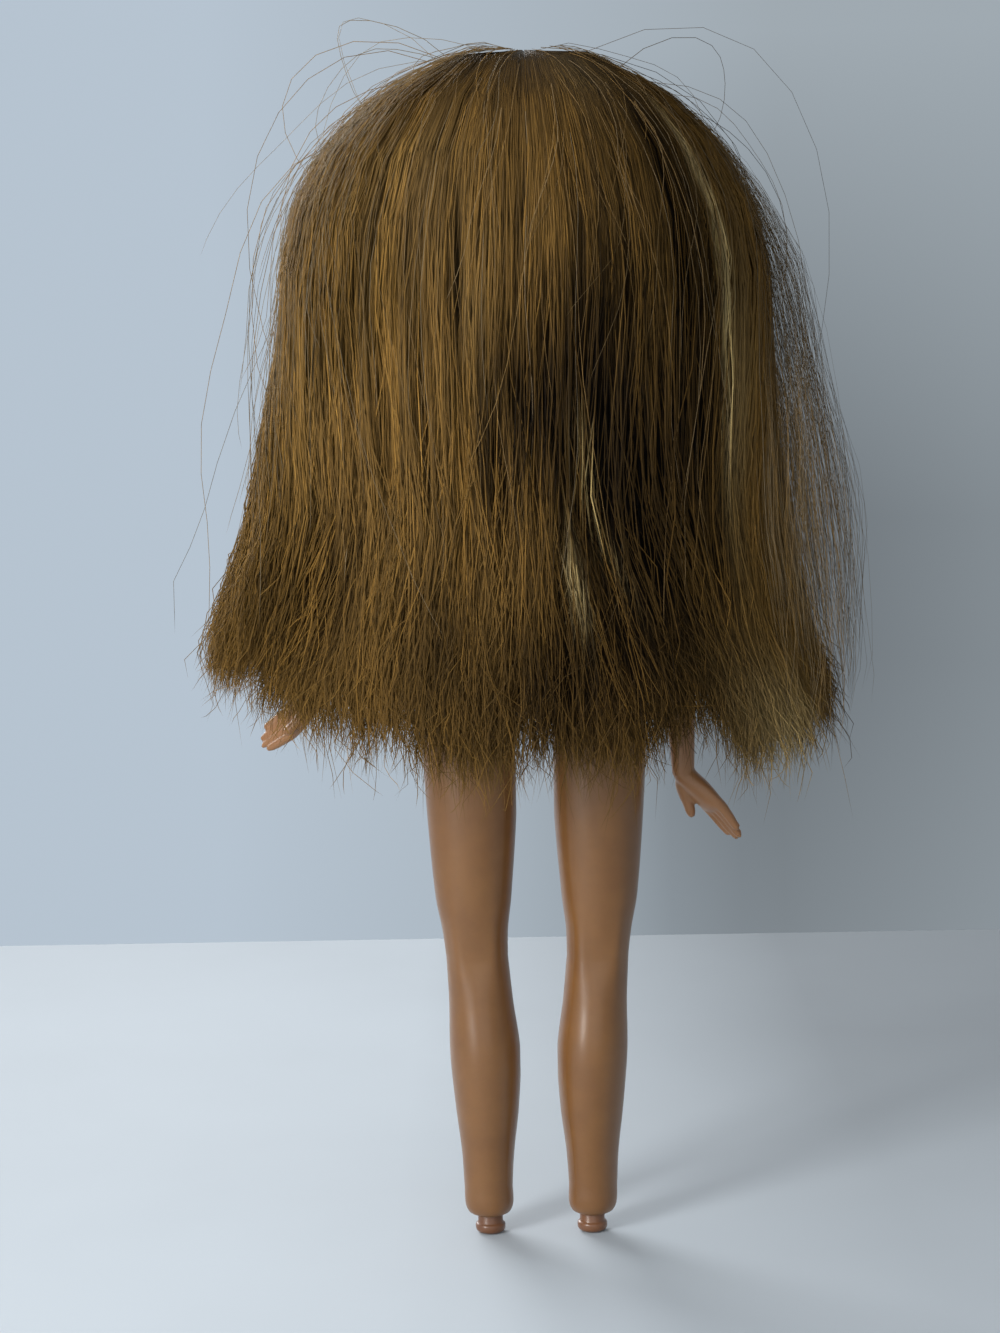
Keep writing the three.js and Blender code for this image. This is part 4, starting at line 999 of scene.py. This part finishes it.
def hangBetween(piece):
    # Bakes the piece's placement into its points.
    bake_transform(piece)


def makeLocks():
    clumps = makeClumps()
    grown = [denseFibres(clumps, **family) for family in families]
    lockTurn = 2 * hair["edgeTurn"] / hair["locks"]
    edge = hair["underEdge"]
    for i in range(-(hair["locks"] // 2), hair["locks"] // 2 + 1):
        sets = [underLock(*np.clip([(i - 0.5) * lockTurn, (i + 0.5) * lockTurn], -edge, edge))]
        for turn0, values in grown:
            mine = np.rint(turn0 / lockTurn).astype(int) == i
            sets.append(fibreSet(*(value[mine] for value in values)))
        lock = hairPiece(lockName(i) + "_fibres", sets)
        finishPiece(lock, "hairFibre", "hair_fibre", lockName(i))
        hangBetween(lock)
    print("hair locks made:", sum(family["count"] for family in families), "fibres")


def makeLooseHair():
    for name, values in (("hair_right_wisps", wispFibres()), ("hair_flyaways", flyawayFibres())):
        loose = hairPiece(name, [fibreSet(*values)])
        finishPiece(loose, "hairFibre", "hair_fibre")
        hangBetween(loose)
    print("loose hair made:", hair["wisps"] + hair["flyaways"], "fibres")


def makeScalp():
    # The rooted layer over the scalp: a shell whose edge is the hairline, with furrows away from the
    # part, and rows of rooted tufts along the part.
    columns, rows = 144, 48
    turn = np.arange(columns) / columns * 360
    edge = np.radians(along(hairlineForm, np.minimum(turn, 360 - turn))[..., 0])
    turn, share = np.radians(turn), np.linspace(0.02, 1, rows)[:, None]
    polar = edge * share
    d = np.stack([np.sin(polar) * np.sin(turn), np.sin(polar) * np.cos(turn), np.cos(polar)], -1)
    x, y, _ = np.moveaxis(d, -1, 0)
    reach = headRadius(*np.moveaxis(d, -1, 0))
    furrow = 0.16 * np.sin(y * 190 + 2 * np.sin(x * 9)) * smooth(0.0, 0.1, np.abs(x))
    thick = scalpGrow(x * head["halfWidth"]) * smooth(1.0, 0.9, share) + 0.25
    outside, inside = (d * r[..., None] + headCentre for r in (reach + thick + furrow, reach + 0.1))
    colours = np.clip(1 + 0.35 * np.sin(y * 190 + 1.3), 0.4, 1.6)[..., None] * tones["root"]
    shell = hairShell(0, (outside, inside), (colours, colours), (0 * d, 0 * d), d, tones["root"])
    scalp = hairPiece("hair_scalp", [shell, fibreSet(*partTufts())])
    finishPiece(scalp, "hairFibre", "hair_fibre", "hair_rooted_cap")
    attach(scalp, "head")
    print("scalp made")


def partTufts():
    # Fibres from the part's line down both sides, lying on the scalp: each goes round by an angle
    # that keeps it inside the hairline, and drifts a little to the back.
    count = hair["partTufts"]
    side = np.where(random.random(count) < 0.5, -1.0, 1.0)
    y0 = random.uniform(-20, 7, count)
    t = np.linspace(0, 1, 10)
    turned = np.radians(mix(48, 84, smooth(-20, -9, y0)) * random.uniform(0.45, 1.0, count))
    turned = turned[:, None] * t
    y = y0[:, None] + random.uniform(0, 4, (count, 1)) * t + random.normal(0, 0.7, (count, 1)) * t
    across = np.sqrt(30.0**2 - np.minimum(np.abs(y), 25) ** 2)
    x = side[:, None] * (0.3 + across * np.sin(turned))
    start = np.stack([x, y, headZ + across * np.cos(turned)], -1)
    rise = random.uniform(0.1, 0.9, (count, 1)) * np.sin(np.pi * t) ** 0.5
    paths = scalpPoint(start, scalpGrow(x) + rise * 0.6 - 0.4 * (t < 0.04) - 0.7 * (t > 0.96))
    tone = mix(tones["root"], tones["gold"] * 0.6, smooth(0.05, 0.7, t)[:, None])
    colours = tone * random.uniform(0.6, 1.4, (count, 1, 1))
    radii = np.full(x.shape, hair["tuftRadius"])
    return x, t, y, paths, radii, np.broadcast_to(colours, paths.shape)


makeLocks()
makeLooseHair()
makeScalp()


# Torso

torso = dict(columns=120, step=0.6, voxel=0.42, rounds=5, shoulderFace=16.8, cutGap=0.4)
# [height, half-width, front, back, middle Y]
torsoForm = [
    [hipZ - 11, 7, 4.5, 5, 0], [hipZ - 8, 13, 7, 7.6, 0], [hipZ - 2, 19.6, 9, 9.6, 0.2],
    [hipZ + 5, 20.6, 9.6, 10.6, 0.4], [mix(hipZ, waistZ, 0.55), 18.6, 9.2, 9.6, 0.2],
    [waistZ, 12.4, 7.8, 6.8, -0.3], [waistZ + 8, 14.2, 8.3, 7.2, 0],
    [shoulderZ - 5, 17.2, 10.4, 8, 0], [shoulderZ + 1.5, 17.8, 7.8, 7.6, 0],
    [shoulderZ + 5, 14, 5.8, 6.4, 0], [shoulderZ + 7.2, 8.4, 4.9, 5.2, 0],
    [shoulderZ + 9, 5.0, 4.8, 4.8, 0], [mix(shoulderZ + 9, neckTopZ, 0.4), 4.3, 4.3, 4.3, 0],
    [neckTopZ, 4.1, 4.1, 4.1, 0],
]
hub = dict(inner=7.6, outer=10.5, back=20, forward=90)


def hubRadius(x):
    return mix(hub["inner"], hub["outer"], np.clip((x - hubInnerX) / (hubOuterX - 2 - hubInnerX), 0, 1))


def torsoSkin():
    # Rings up the body, with a soft chest in front and a shallow spine behind. The shoulders are
    # clipped flat where the arms turn.
    z = np.arange(hipZ - 11, neckTopZ, torso["step"])
    z = np.append(z, neckTopZ)
    form = along(torsoForm, z)
    angle = circle(torso["columns"])
    rings = ellipseRing(z, 0, form[:, 3], form[:, 0], form[:, 1], form[:, 2], angle)
    x, y = rings[..., 0], rings[..., 1]
    level = rings[..., 2]
    isFront, isBack = (smooth(0.15, 0.75, way * np.sin(angle))[None, :] for way in (-1, 1))
    chest = bell((np.abs(x) - 7) / 5.0) * bell((level - (shoulderZ - 8.5)) / 5.5)
    y -= 1.3 * chest * isFront
    y += 0.7 * bell(x / 2.6) * bell((level - (shoulderZ - 8)) / 6) * isFront
    spine = smooth(hipZ + 4, hipZ + 12, level) * smooth(shoulderZ + 4, shoulderZ, level)
    y -= 0.55 * bell(x / 2.2) * spine * isBack
    y -= 0.5 * bell(x / 1.8) * smooth(hipZ + 7, hipZ + 1, level) * isBack
    y += 0.5 * bell(np.hypot(x, (level - (hipZ + 14.5)) * 0.8) / 1.1) * isFront
    face = mix(40, torso["shoulderFace"], smooth(shoulderZ - 13, shoulderZ - 9, level))
    rings[..., 0] = np.clip(x, -face, face)
    return rings


def legSweep(side):
    # What one thigh sweeps between its limits, grown by the gap: at each X, a disc round the hip axis
    # and the fan under it from the backward limit to the forward one.
    x = np.array([hubInnerX - torso["cutGap"], hubOuterX - 2, hubOuterX + 8])
    radius = hubRadius(x) + torso["cutGap"]
    backLine = math.radians(-90 + hub["back"])  # measured from +Y towards +Z
    frontLine = math.radians(-90 - hub["forward"])
    over = np.linspace(backLine + math.pi / 2, frontLine + 1.5 * math.pi, 40)
    arc = np.stack([np.cos(over), np.sin(over)], -1)
    far = 60.0
    backWay = np.array([math.cos(backLine), math.sin(backLine)])
    frontWay = np.array([math.cos(frontLine), math.sin(frontLine)])
    rings = []
    for px, r in zip(x, radius):
        outline = [arc[0] * r + backWay * far, *(arc * r), arc[-1] * r + frontWay * far,
                   (frontWay + backWay) * far * 1.2]
        rings.append([[side * px, oy, hipZ + oz] for oy, oz in outline])
    rings = np.array(rings)
    return rings if side < 0 else rings[:, ::-1]


def halfBody(piece, name, front):
    # The shell in front of the weld line, or behind it, closed along its flat edge.
    mesh = piece.data.copy()
    made = bpy.data.objects.new(name, mesh)
    bpy.context.scene.collection.objects.link(made)
    shape = bmesh.new()
    shape.from_mesh(mesh)
    inset = -0.05 if front else 0.05
    at = Vector((0, (dollY + inset) * mm, 0))
    everything = shape.verts[:] + shape.edges[:] + shape.faces[:]
    cutMade = bmesh.ops.bisect_plane(
        shape, geom=everything, plane_co=at, plane_no=(0, 1, 0), clear_outer=front, clear_inner=not front
    )
    rim = [e for e in cutMade["geom_cut"] if isinstance(e, bmesh.types.BMEdge)]
    bmesh.ops.holes_fill(shape, edges=rim)
    bmesh.ops.triangulate(shape, faces=[f for f in shape.faces if len(f.verts) > 4])
    shape.to_mesh(mesh)
    shape.free()
    mesh.set_sharp_from_angle(angle=math.radians(50))
    return made


def makeTorso():
    body = putMesh("torso_whole", *tubeOf(torsoSkin()))
    tools = []
    for side in (-1, 1):
        tool = putMesh("leg_room", *tubeOf(legSweep(side)))
        cutter = body.modifiers.new("leg", "BOOLEAN")
        cutter.operation, cutter.solver, cutter.object = "DIFFERENCE", "EXACT", tool
        tools.append(tool)
    bpy.context.view_layer.update()
    settle(body)
    for tool in tools:
        bpy.data.objects.remove(tool)
    remeshed(body, torso["voxel"], torso["rounds"])
    for name, front in (("torso_front", True), ("torso_back", False)):
        shell = halfBody(body, name + "_shell", front)
        finishPiece(shell, "bodyPlastic", "body_plastic", name)
        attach(shell, "torso")
    bpy.data.objects.remove(body)
    print("torso made")


makeTorso()


# Legs

leg = dict(
    ankleSpread=10.3, hipSpread=13.3, columns=96, shinRows=110, thighRows=90, overRows=22,
    softHalf=6.2, seamHeight=0.07, pegRadius=2.75,
)
# [share of the shin from cuff to knee, half-width, front, back, shift towards the other leg]
shinForm = [
    [0, 3.1, 3.1, 3.1, 0], [0.012, 4.2, 4.2, 4.2, 0], [0.045, 4.85, 4.9, 4.9, 0],
    [0.12, 4.85, 4.9, 5.0, 0], [0.24, 5.2, 5.1, 5.7, 0.2], [0.42, 6.3, 5.6, 7.2, 0.45],
    [0.63, 7.0, 6.0, 8.2, 0.5], [0.83, 6.35, 6.1, 7.0, 0.1], [1, 6.1, 6.4, 6.2, -0.3],
]
# [share of the thigh from knee to hip, half-width, front, back, shift towards the other leg]
thighForm = [
    [0, 6.1, 6.4, 6.2, -0.3], [0.09, 6.5, 6.8, 6.3, -0.45], [0.2, 7.5, 7.5, 7.0, -0.5],
    [0.5, 8.9, 8.7, 8.6, -0.1], [0.75, 9.3, 8.9, 9.1, 0], [1, 9.1, 8.8, 9.1, 0],
]


def legCentreX(z):
    return mix(leg["ankleSpread"], leg["hipSpread"], z / hipZ)


def legSkin():
    # Rings up one leg on the +X side. Near the hip each ring swells into the hub's outline, a
    # rounded box in X and Y, and from the hip axis the same outline is swung over the top.
    lower = cuffZ + (kneeZ - cuffZ) * np.linspace(0, 1, leg["shinRows"], endpoint=False) ** 1.35
    upper = np.linspace(kneeZ, hipZ, leg["thighRows"])
    z = np.concatenate([lower, upper])
    shin = along(shinForm, (z - cuffZ) / (kneeZ - cuffZ))
    thigh = along(thighForm, (z - kneeZ) / (hipZ - kneeZ))
    form = np.where((z < kneeZ)[:, None], shin, thigh)
    angle = circle(leg["columns"])
    rings = ellipseRing(z, legCentreX(z) - form[:, 3], 0 * z, form[:, 0], form[:, 1], form[:, 2], angle)
    toHub = smooth(hipZ - 16, hipZ - 1, z)[:, None]
    box = 2 / mix(2.0, 3.6, toHub)
    middle = (hubInnerX + hubOuterX) / 2
    half = (hubOuterX - hubInnerX) / 2
    hx = middle + half * np.sign(np.cos(angle)) * np.abs(np.cos(angle)) ** box
    hy = hubRadius(hx) * np.sign(np.sin(angle)) * np.abs(np.sin(angle)) ** box
    rings[..., 0] = mix(rings[..., 0], hx, toHub)
    rings[..., 1] = mix(rings[..., 1], hy, toHub)
    rings[..., 0] = np.maximum(rings[..., 0], hubInnerX)
    addLegForms(rings, angle, z)
    swing = np.linspace(0, np.pi / 2, leg["overRows"] + 1)[1:, None]
    top = rings[-1]
    over = np.stack(
        [np.broadcast_to(top[:, 0], (len(swing), len(top))), top[:, 1] * np.cos(swing),
         hipZ + np.abs(top[:, 1]) * np.sin(swing)], -1)
    peg = leg["pegRadius"]
    mouth = [(cuffZ + 2.6, peg), (cuffZ + 0.5, peg), (cuffZ + 0.12, peg + 0.1)]
    inside = np.concatenate(
        [ellipseRing([mz], [leg["ankleSpread"]], [0], [r], [r], [r], angle) for mz, r in mouth])
    return np.concatenate([inside, rings, over])


def addLegForms(rings, angle, z):
    # Small forms pushed out from each ring's middle: two tendons and a hollow behind the knee, the
    # kneecap in front, and the mould's part line down each side.
    centre = rings.mean(axis=1, keepdims=True)
    away = unit((rings - centre) * [1, 1, 0])
    behind = np.angle(np.exp(1j * (angle - np.pi / 2)))[None, :]
    before = np.angle(np.exp(1j * (angle + np.pi / 2)))[None, :]
    up = (z - kneeZ)[:, None]
    push = 0.3 * (bell((behind - 0.62) / 0.22) + bell((behind + 0.62) / 0.22)) * bell((up - 3) / 9)
    push = push - 0.35 * bell(behind / 0.4) * bell(up / 5)
    push = push + 0.4 * bell(before / 0.5) * bell((up - 1) / 4.5)
    partLine = bell(np.sin(angle) / 0.035)[None, :] + bell((behind - 0.86) / 0.03)
    seamEnds = smooth(3, 8, z - cuffZ) * smooth(hipZ - 4, hipZ - 12, z)
    push = push + leg["seamHeight"] * partLine * seamEnds[:, None]
    rings += away * push[..., None]


def makeLegs():
    arrays = tubeOf(legSkin())
    for side, sign in (("left", 1), ("right", -1)):
        skin = sidedMesh(side, "leg_skin", arrays)
        shape = bmesh.new()
        shape.from_mesh(skin.data)
        bmesh.ops.remove_doubles(shape, verts=shape.verts, dist=0.002 * mm)
        bmesh.ops.dissolve_degenerate(shape, edges=shape.edges, dist=0.001 * mm)
        shape.to_mesh(skin.data)
        shape.free()
        nodes = [f"{side}_{part}_skin" for part in ("thigh", "knee", "shin")]
        finishPiece(skin, "legVinyl", "leg_vinyl", *nodes)
        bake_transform(skin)
    print("legs made")


makeLegs()

# [height, radius] up the ankle peg's knob, groove and stem
pegForm = [
    [0, 0.05], [0, 1.7], [0.06, 2.05], [0.2, 2.4], [0.42, 2.72], [0.7, 2.92], [1.05, 3.0],
    [1.6, 3.0], [1.85, 2.94], [2.02, 2.78], [2.16, 2.6], [2.35, 2.5], [8.8, 2.5], [8.8, 0.05],
]


link = dict(
    barFrom=7.8, barRadius=2.2, neckHalf=1.3, neckDeep=1.9, columns=24, pegColumns=64,
    eyeHalf=1.3, eyeRadius=3.3, eyeHole=1.5, eyeColumns=96, notches=(20, 45, 70), notchDeep=0.5,
)


def kneeEye():
    # A flat eye round the knee axis: its outline dips at the three click notches.
    count, half, hole = link["eyeColumns"], link["eyeHalf"], link["eyeHole"]
    angle = circle(count)
    outline = np.full(count, link["eyeRadius"])
    for degrees in link["notches"]:
        notch = math.radians(90 + degrees)  # from +Y towards +Z, on the front upper side
        outline -= link["notchDeep"] * bell((angle - notch) / 0.12)
    rings = []
    for at, reach in [(-half, hole), (-half, outline), (half, outline), (half, hole), (-half, hole)]:
        around = reach * np.cos(angle), kneeZ + reach * np.sin(angle)
        rings.append(np.stack([np.full(count, kneeX + at), *around], -1))
    return np.concatenate(rings), gridFaces(len(rings), count)[0][:, ::-1], np.zeros((0, 3), int)


def makeShinLinks():
    # The ankle peg, the bar that carries it, and the bar's flat neck and eye at the knee.
    def rod(z, x, half, deep):
        angle = circle(link["columns"])
        return tubeOf(ellipseRing(z, x, 0 * z, half + 0 * z, deep + 0 * z, deep + 0 * z, angle))

    z = np.linspace(link["barFrom"], kneeZ - 4.5, 12)
    bar = rod(z, legCentreX(z), link["barRadius"], link["barRadius"])
    z = np.linspace(kneeZ - 5.5, kneeZ - 2.2, 5)
    neck = rod(z, kneeX + 0 * z, link["neckHalf"], link["neckDeep"])
    peg = lathe("z", pegForm, link["pegColumns"], (leg["ankleSpread"], 0, 0))
    arrays = joinArrays([peg, bar, neck, kneeEye()])
    for side in ("left", "right"):
        piece = sidedMesh(side, "ankle_peg_and_link", arrays)
        piece.data.set_sharp_from_angle(angle=math.radians(40))
        finishPiece(piece, "pegPlastic", "peg_plastic", f"{side}_shin_link")
        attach(piece, f"{side}_shin")
    print("ankle pegs made")


makeShinLinks()


# Arms

arm = dict(columns=40, rows=90, voxel=0.32, rounds=5)
arms = {
    # How far down the wrist is, the hand's directions along and across the fingers, how far they
    # bend, and stations [x past the shoulder face, y, share of the reach, radius across, radius deep]
    "left": dict(
        reach=51.0, fingers=(0.6, -0.46, -0.62), spread=(0.3, -0.75, 0.7), bend=1.6,
        stations=[
            [4.1, 0, -0.02, 4.6, 5.2], [4.8, 0, 0.14, 4.1, 4.6], [7.6, 0.6, 0.35, 3.7, 4.0],
            [11.6, 0.8, 0.54, 3.4, 3.6], [17.8, -1.6, 0.74, 3.3, 3.5], [23.4, -4.9, 0.9, 2.7, 2.8],
            [26.6, -7.6, 1, 2.2, 2.3],
        ]),
    "right": dict(
        reach=67.0, fingers=(0.67, -0.06, -0.74), spread=(0.34, 0.9, 0.28), bend=0.8,
        stations=[
            [4.1, 0, -0.015, 4.6, 5.2], [4.8, 0, 0.12, 4.1, 4.6], [7.2, 0.6, 0.31, 3.7, 4.0],
            [9.8, 1.2, 0.49, 3.4, 3.6], [11.6, 0.8, 0.67, 3.3, 3.5], [12.4, -0.4, 0.85, 2.7, 2.8],
            [12.8, -1.2, 1, 2.2, 2.3],
        ]),
}
shoulderForm = [
    [0.3, 0.05], [0.3, 4.9], [0.45, 5.25], [1.7, 6.1], [4, 6.3], [6.5, 5.6], [8.6, 3.9], [9.6, 1.6],
    [9.8, 0.05],
]


def limbSkin(stations):
    # A tube along stations [x, y, z, radius across, radius deep], square to its own line.
    table = np.column_stack([np.linspace(0, 1, len(stations)), np.array(stations)])
    t = np.linspace(0, 1, arm["rows"])
    at = along(table, t)
    way = unit(along(table, np.minimum(t + 0.02, 1))[:, :3] - along(table, np.maximum(t - 0.02, 0))[:, :3])
    side = unit(np.cross([0, 1, 0], way))
    fore = np.cross(way, side)
    angle = circle(arm["columns"])
    rings = at[:, None, :3] + side[:, None] * (at[:, None, 3:4] * np.cos(angle)[:, None])
    return tubeOf(rings + fore[:, None] * (at[:, None, 4:5] * np.sin(angle)[:, None]))


# Ovals of the palm and the thumb: [along the fingers from the wrist, across from the middle towards
# the little finger, out of the back of the hand, half-width, half-depth]
palmForm = [
    [-2, 0, 0, 0.5, 0.5], [-1.3, 0, 0, 1.6, 1.5], [0, 0, 0.1, 2.25, 2.1], [1.8, 0, 0.1, 2.75, 2.05],
    [4.5, 0.1, 0.1, 3.5, 2.0], [7.4, 0.1, 0, 3.95, 1.75], [9.2, 0.1, 0, 3.8, 1.4],
    [10, 0.1, 0, 3.3, 0.7],
]
thumbForm = [
    [0.1, -0.8, -0.1, 1.2, 1.3], [2.0, -2.0, -0.7, 1.75, 1.7], [4.1, -3.1, -1.5, 1.5, 1.45],
    [5.7, -3.7, -2.1, 1.2, 1.15], [7.3, -4.2, -2.75, 1.05, 1.0], [8.2, -4.45, -3.15, 0.65, 0.65],
    [8.5, -4.5, -3.3, 0.15, 0.15],
]
# [share of a finger's length, of its place across and of the bend, half-width, half-depth]
fingerForm = [
    [0.2, 0.99, 0, 1.0, 1.12], [0.45, 0.97, 0.25, 0.93, 1.02], [0.66, 0.93, 0.5, 0.9, 0.92],
    [0.87, 0.89, 0.82, 0.76, 0.74], [0.97, 0.87, 1, 0.45, 0.42], [1, 0.87, 1, 0.12, 0.12],
]
# [along the finger from the nail's middle, half-width, half-depth]
nailForm = [[-0.85, 0.2, 0.1], [-0.4, 0.52, 0.24], [0.4, 0.5, 0.22], [0.9, 0.2, 0.1]]
# From the first finger to the little one: its place across and its length past the knuckles.
fingerSizes = [(-2.85, 8.3), (-0.95, 9.6), (0.95, 9.4), (2.85, 7.5)]
# How far the knuckles are from the wrist, a finger's first oval [along, half-width, half-depth], the
# thumb's direction, and a nail's place in the terms of fingerForm with its rise over it.
hand = dict(
    knuckles=8, fingerRoot=(6.5, 0.95, 1.1), thumbWay=(0.88, -0.36, -0.38),
    nailAt=0.84, nailInward=0.89, nailDrop=0.78, nailRise=0.62,
)


def handParts(wrist, fingers, spread, bend):
    # A palm, four fingers with nails and a thumb as tubes of ovals. r points along the fingers, w
    # across them from the thumb's side, and up out of the back of the hand.
    r = unit(np.array(fingers))
    up = unit(np.cross(r, np.array(spread)))
    w = unit(np.cross(up, r))

    def tube(form, way=r, columns=20):
        form = np.array(form, float)
        middle = wrist + form[:, :1] * r + form[:, 1:2] * w + form[:, 2:3] * up
        across = unit(np.cross(up, way))
        out = unit(np.cross(way, across))
        angle = circle(columns)
        table = np.column_stack([np.arange(len(form)), middle, form[:, 3:]])
        p = along(table, np.linspace(0, len(form) - 1, 8 * len(form)))
        rings = p[:, None, :3] + across * (p[:, None, 3:4] * np.cos(angle)[:, None])
        return tubeOf(rings + out * (p[:, None, 4:5] * np.sin(angle)[:, None]))

    parts = [tube(palmForm, r, 32)]
    rootAt, *rootOval = hand["fingerRoot"]
    for across, length in fingerSizes:
        finger = [
            [hand["knuckles"] + length * share, across * inward, -bend * drop, half, deep]
            for share, inward, drop, half, deep in fingerForm
        ]
        parts.append(tube([[rootAt, across, 0, *rootOval]] + finger))
        nailAt = hand["knuckles"] + length * hand["nailAt"]
        beside, rise = across * hand["nailInward"], hand["nailRise"] - bend * hand["nailDrop"]
        nail = [[nailAt + step, beside, rise, half, deep] for step, half, deep in nailForm]
        parts.append(tube(nail, r, 12))
    forth, sideways, rise = hand["thumbWay"]
    parts.append(tube(thumbForm, unit(r * forth + w * sideways + up * rise)))
    return parts


def makeArms():
    face = torso["shoulderFace"]
    for side, form in arms.items():
        path = [
            [face + x, y, shoulderZ - form["reach"] * share, wide, deep]
            for x, y, share, wide, deep in form["stations"]
        ]
        cap = lathe("x", [[face + x, r] for x, r in shoulderForm], 48, (0, 0, shoulderZ))
        parts = [cap, limbSkin(path), *handParts(path[-1][:3], form["fingers"], form["spread"], form["bend"])]
        piece = sidedMesh(side, "arm_skin", joinArrays(parts))
        remeshed(piece, arm["voxel"], arm["rounds"])
        finishPiece(piece, "armVinyl", "arm_vinyl", f"{side}_arm")
        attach(piece, f"{side}_arm")
    print("arms made")


makeArms()


# The solids that stay get moulded plastic.
for name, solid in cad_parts.items():
    if not solid.hide_render:
        solid.data.materials.clear()
        solid.data.materials.append(looks["innerPlastic"])


# Floor, background, lamps and camera

# backLeft and backRight paint light on the background, lighter on the doll's left as if lit from there; shade
# is the colour that the painted shadows on the floor and background darken towards.
stage = dict(
    floor=(0.55, 0.625, 0.7, 1), floorBehind=272.0, floorReach=1600.0,
    backLeft=(0.47, 0.55, 0.635, 1), backRight=(0.35, 0.4, 0.44, 1), shade=(0, 0, 0, 1), light=0.31,
)


def makeFloor():
    # A pale matt floor with a faint unevenness, which ends a little way in front of the face. It carries
    # a painted shadow of the doll on the doll's right, deepest at that end.
    material, tree, shader = newMaterial("paleFloor", {"Roughness": 0.85})
    where = dollPoint(tree)
    x, y, _ = fieldsOf(tree, where)
    # Painted shadow: darker on the doll's right, most at the end in front of the face.
    shade = x.remap(0.03, -0.075) * y.remap(0.08, -0.16, 0.16, 0.48) * x.remap(-0.28, -0.08, 0.6, 1)
    darker = tuple(0.95 * c for c in stage["floor"][:3]) + (1,)
    colour = blendColour(tree, noise(tree, where, 9.0).remap(0.3, 0.7), stage["floor"], darker)
    plug(tree, shader, {"Base Color": blendColour(tree, shade, colour, stage["shade"])})
    far, near = stage["floorReach"], -stage["floorBehind"]
    corners = np.array([[-far, near, 0], [far, near, 0], [far, far, 0], [-far, far, 0]], float)
    floor = putMesh("floor", corners, [[0, 1, 2, 3]], [])
    floor.data.materials.append(material)


def makeWorld():
    # Even light, and behind the doll a pale background with painted light and shade: lighter on its
    # left side as if lit from there, and a painted shadow low on its right side, deepest beside the hair.
    world = bpy.data.worlds.new("studio")
    world.use_nodes = True
    tree = world.node_tree
    light = tree.nodes["Background"]
    plug(tree, light, {"Color": (1.0, 0.99, 0.97, 1), "Strength": stage["light"]})
    across, _, up = fieldsOf(tree, addNode(tree, "TexCoord", {}).outputs["Generated"])
    # Painted shadow of the doll low on the right of the background, deepest beside the hair.
    beside = across.remap(-0.035, -0.085) * across.remap(-0.175, -0.1, 0, 0.2)
    shade = (beside + 0.37) * up.remap(0.1, -0.07) * up.remap(-0.22, -0.12, 0.7, 1)
    shade = shade * across.remap(0.02, -0.06)
    # Painted light: the background is lighter on the doll's left, as if lit from that side.
    colour = blendColour(tree, across.remap(-0.1, 0.1), stage["backRight"], stage["backLeft"])
    back = addNode(tree, "Background", {"Color": blendColour(tree, shade, colour, stage["shade"])})
    rays = addNode(tree, "LightPath", {}).outputs
    seen = Field(tree, rays["Is Camera Ray"]).maths("MAXIMUM", rays["Is Glossy Ray"])
    seen = seen.maths("MAXIMUM", rays["Is Transmission Ray"])
    both = addNode(tree, "MixShader", {0: seen, 1: light.outputs[0], 2: back.outputs[0]})
    plug(tree, tree.nodes["World Output"], {"Surface": both.outputs[0]})
    bpy.context.scene.world = world


lamps = {
    # Place in millimetres, size, power in watts, colour, and the angle in degrees over which it
    # shines, which is 180 where it isn't given. Each looks at the middle of the doll.
    "window": dict(at=(430, 460, 300), size=(170, 460), watts=1.2, colour=(1.0, 0.985, 0.96), spread=100),
    "fill": dict(at=(-100, 650, 200), size=(500, 500), watts=0.55, colour=(0.97, 0.985, 1.0)),
    "top": dict(at=(200, 60, 760), size=(500, 500), watts=0.65, colour=(1.0, 0.99, 0.98)),
    "front": dict(at=(350, -650, 420), size=(500, 500), watts=1.45, colour=(1.0, 0.99, 0.98), spread=80),
}


def makeLamps():
    aim = Vector(toScene([0, 0, 125]))
    for name, values in lamps.items():
        data = bpy.data.lights.new(name, "AREA")
        data.shape = "RECTANGLE"
        data.size, data.size_y = (side * mm for side in values["size"])
        data.energy = values["watts"]
        data.color = values["colour"]
        data.spread = math.radians(values.get("spread", 180))
        lamp = bpy.data.objects.new(name, data)
        lamp.location = Vector(toScene(values["at"]))
        lamp.rotation_euler = (aim - lamp.location).to_track_quat("-Z", "Y").to_euler()
        bpy.context.scene.collection.objects.link(lamp)


camera = dict(distance=550.0, lens=75.2, elevation=7.0, lean=0.97, aim=(6.5, 0, 115.2))


def makeCamera():
    # From behind the doll, a little above level, rolled so that the doll leans to the image's left.
    data = bpy.data.cameras.new("camera")
    data.lens = camera["lens"]
    made = bpy.data.objects.new("camera", data)
    rise = math.radians(camera["elevation"])
    back = Vector((0, math.cos(rise), math.sin(rise)))
    made.location = Vector(toScene(camera["aim"])) + back * camera["distance"] * mm
    roll = Quaternion((0, 0, 1), math.radians(-camera["lean"]))
    made.rotation_mode = "QUATERNION"
    made.rotation_quaternion = (-back).to_track_quat("-Z", "Y") @ roll
    data.clip_start, data.clip_end = 0.01, 10
    bpy.context.scene.collection.objects.link(made)
    bpy.context.scene.camera = made


makeFloor()
makeWorld()
makeLamps()
makeCamera()
bpy.context.scene.view_settings.view_transform = "Standard"
print("floor, lamps and camera made")
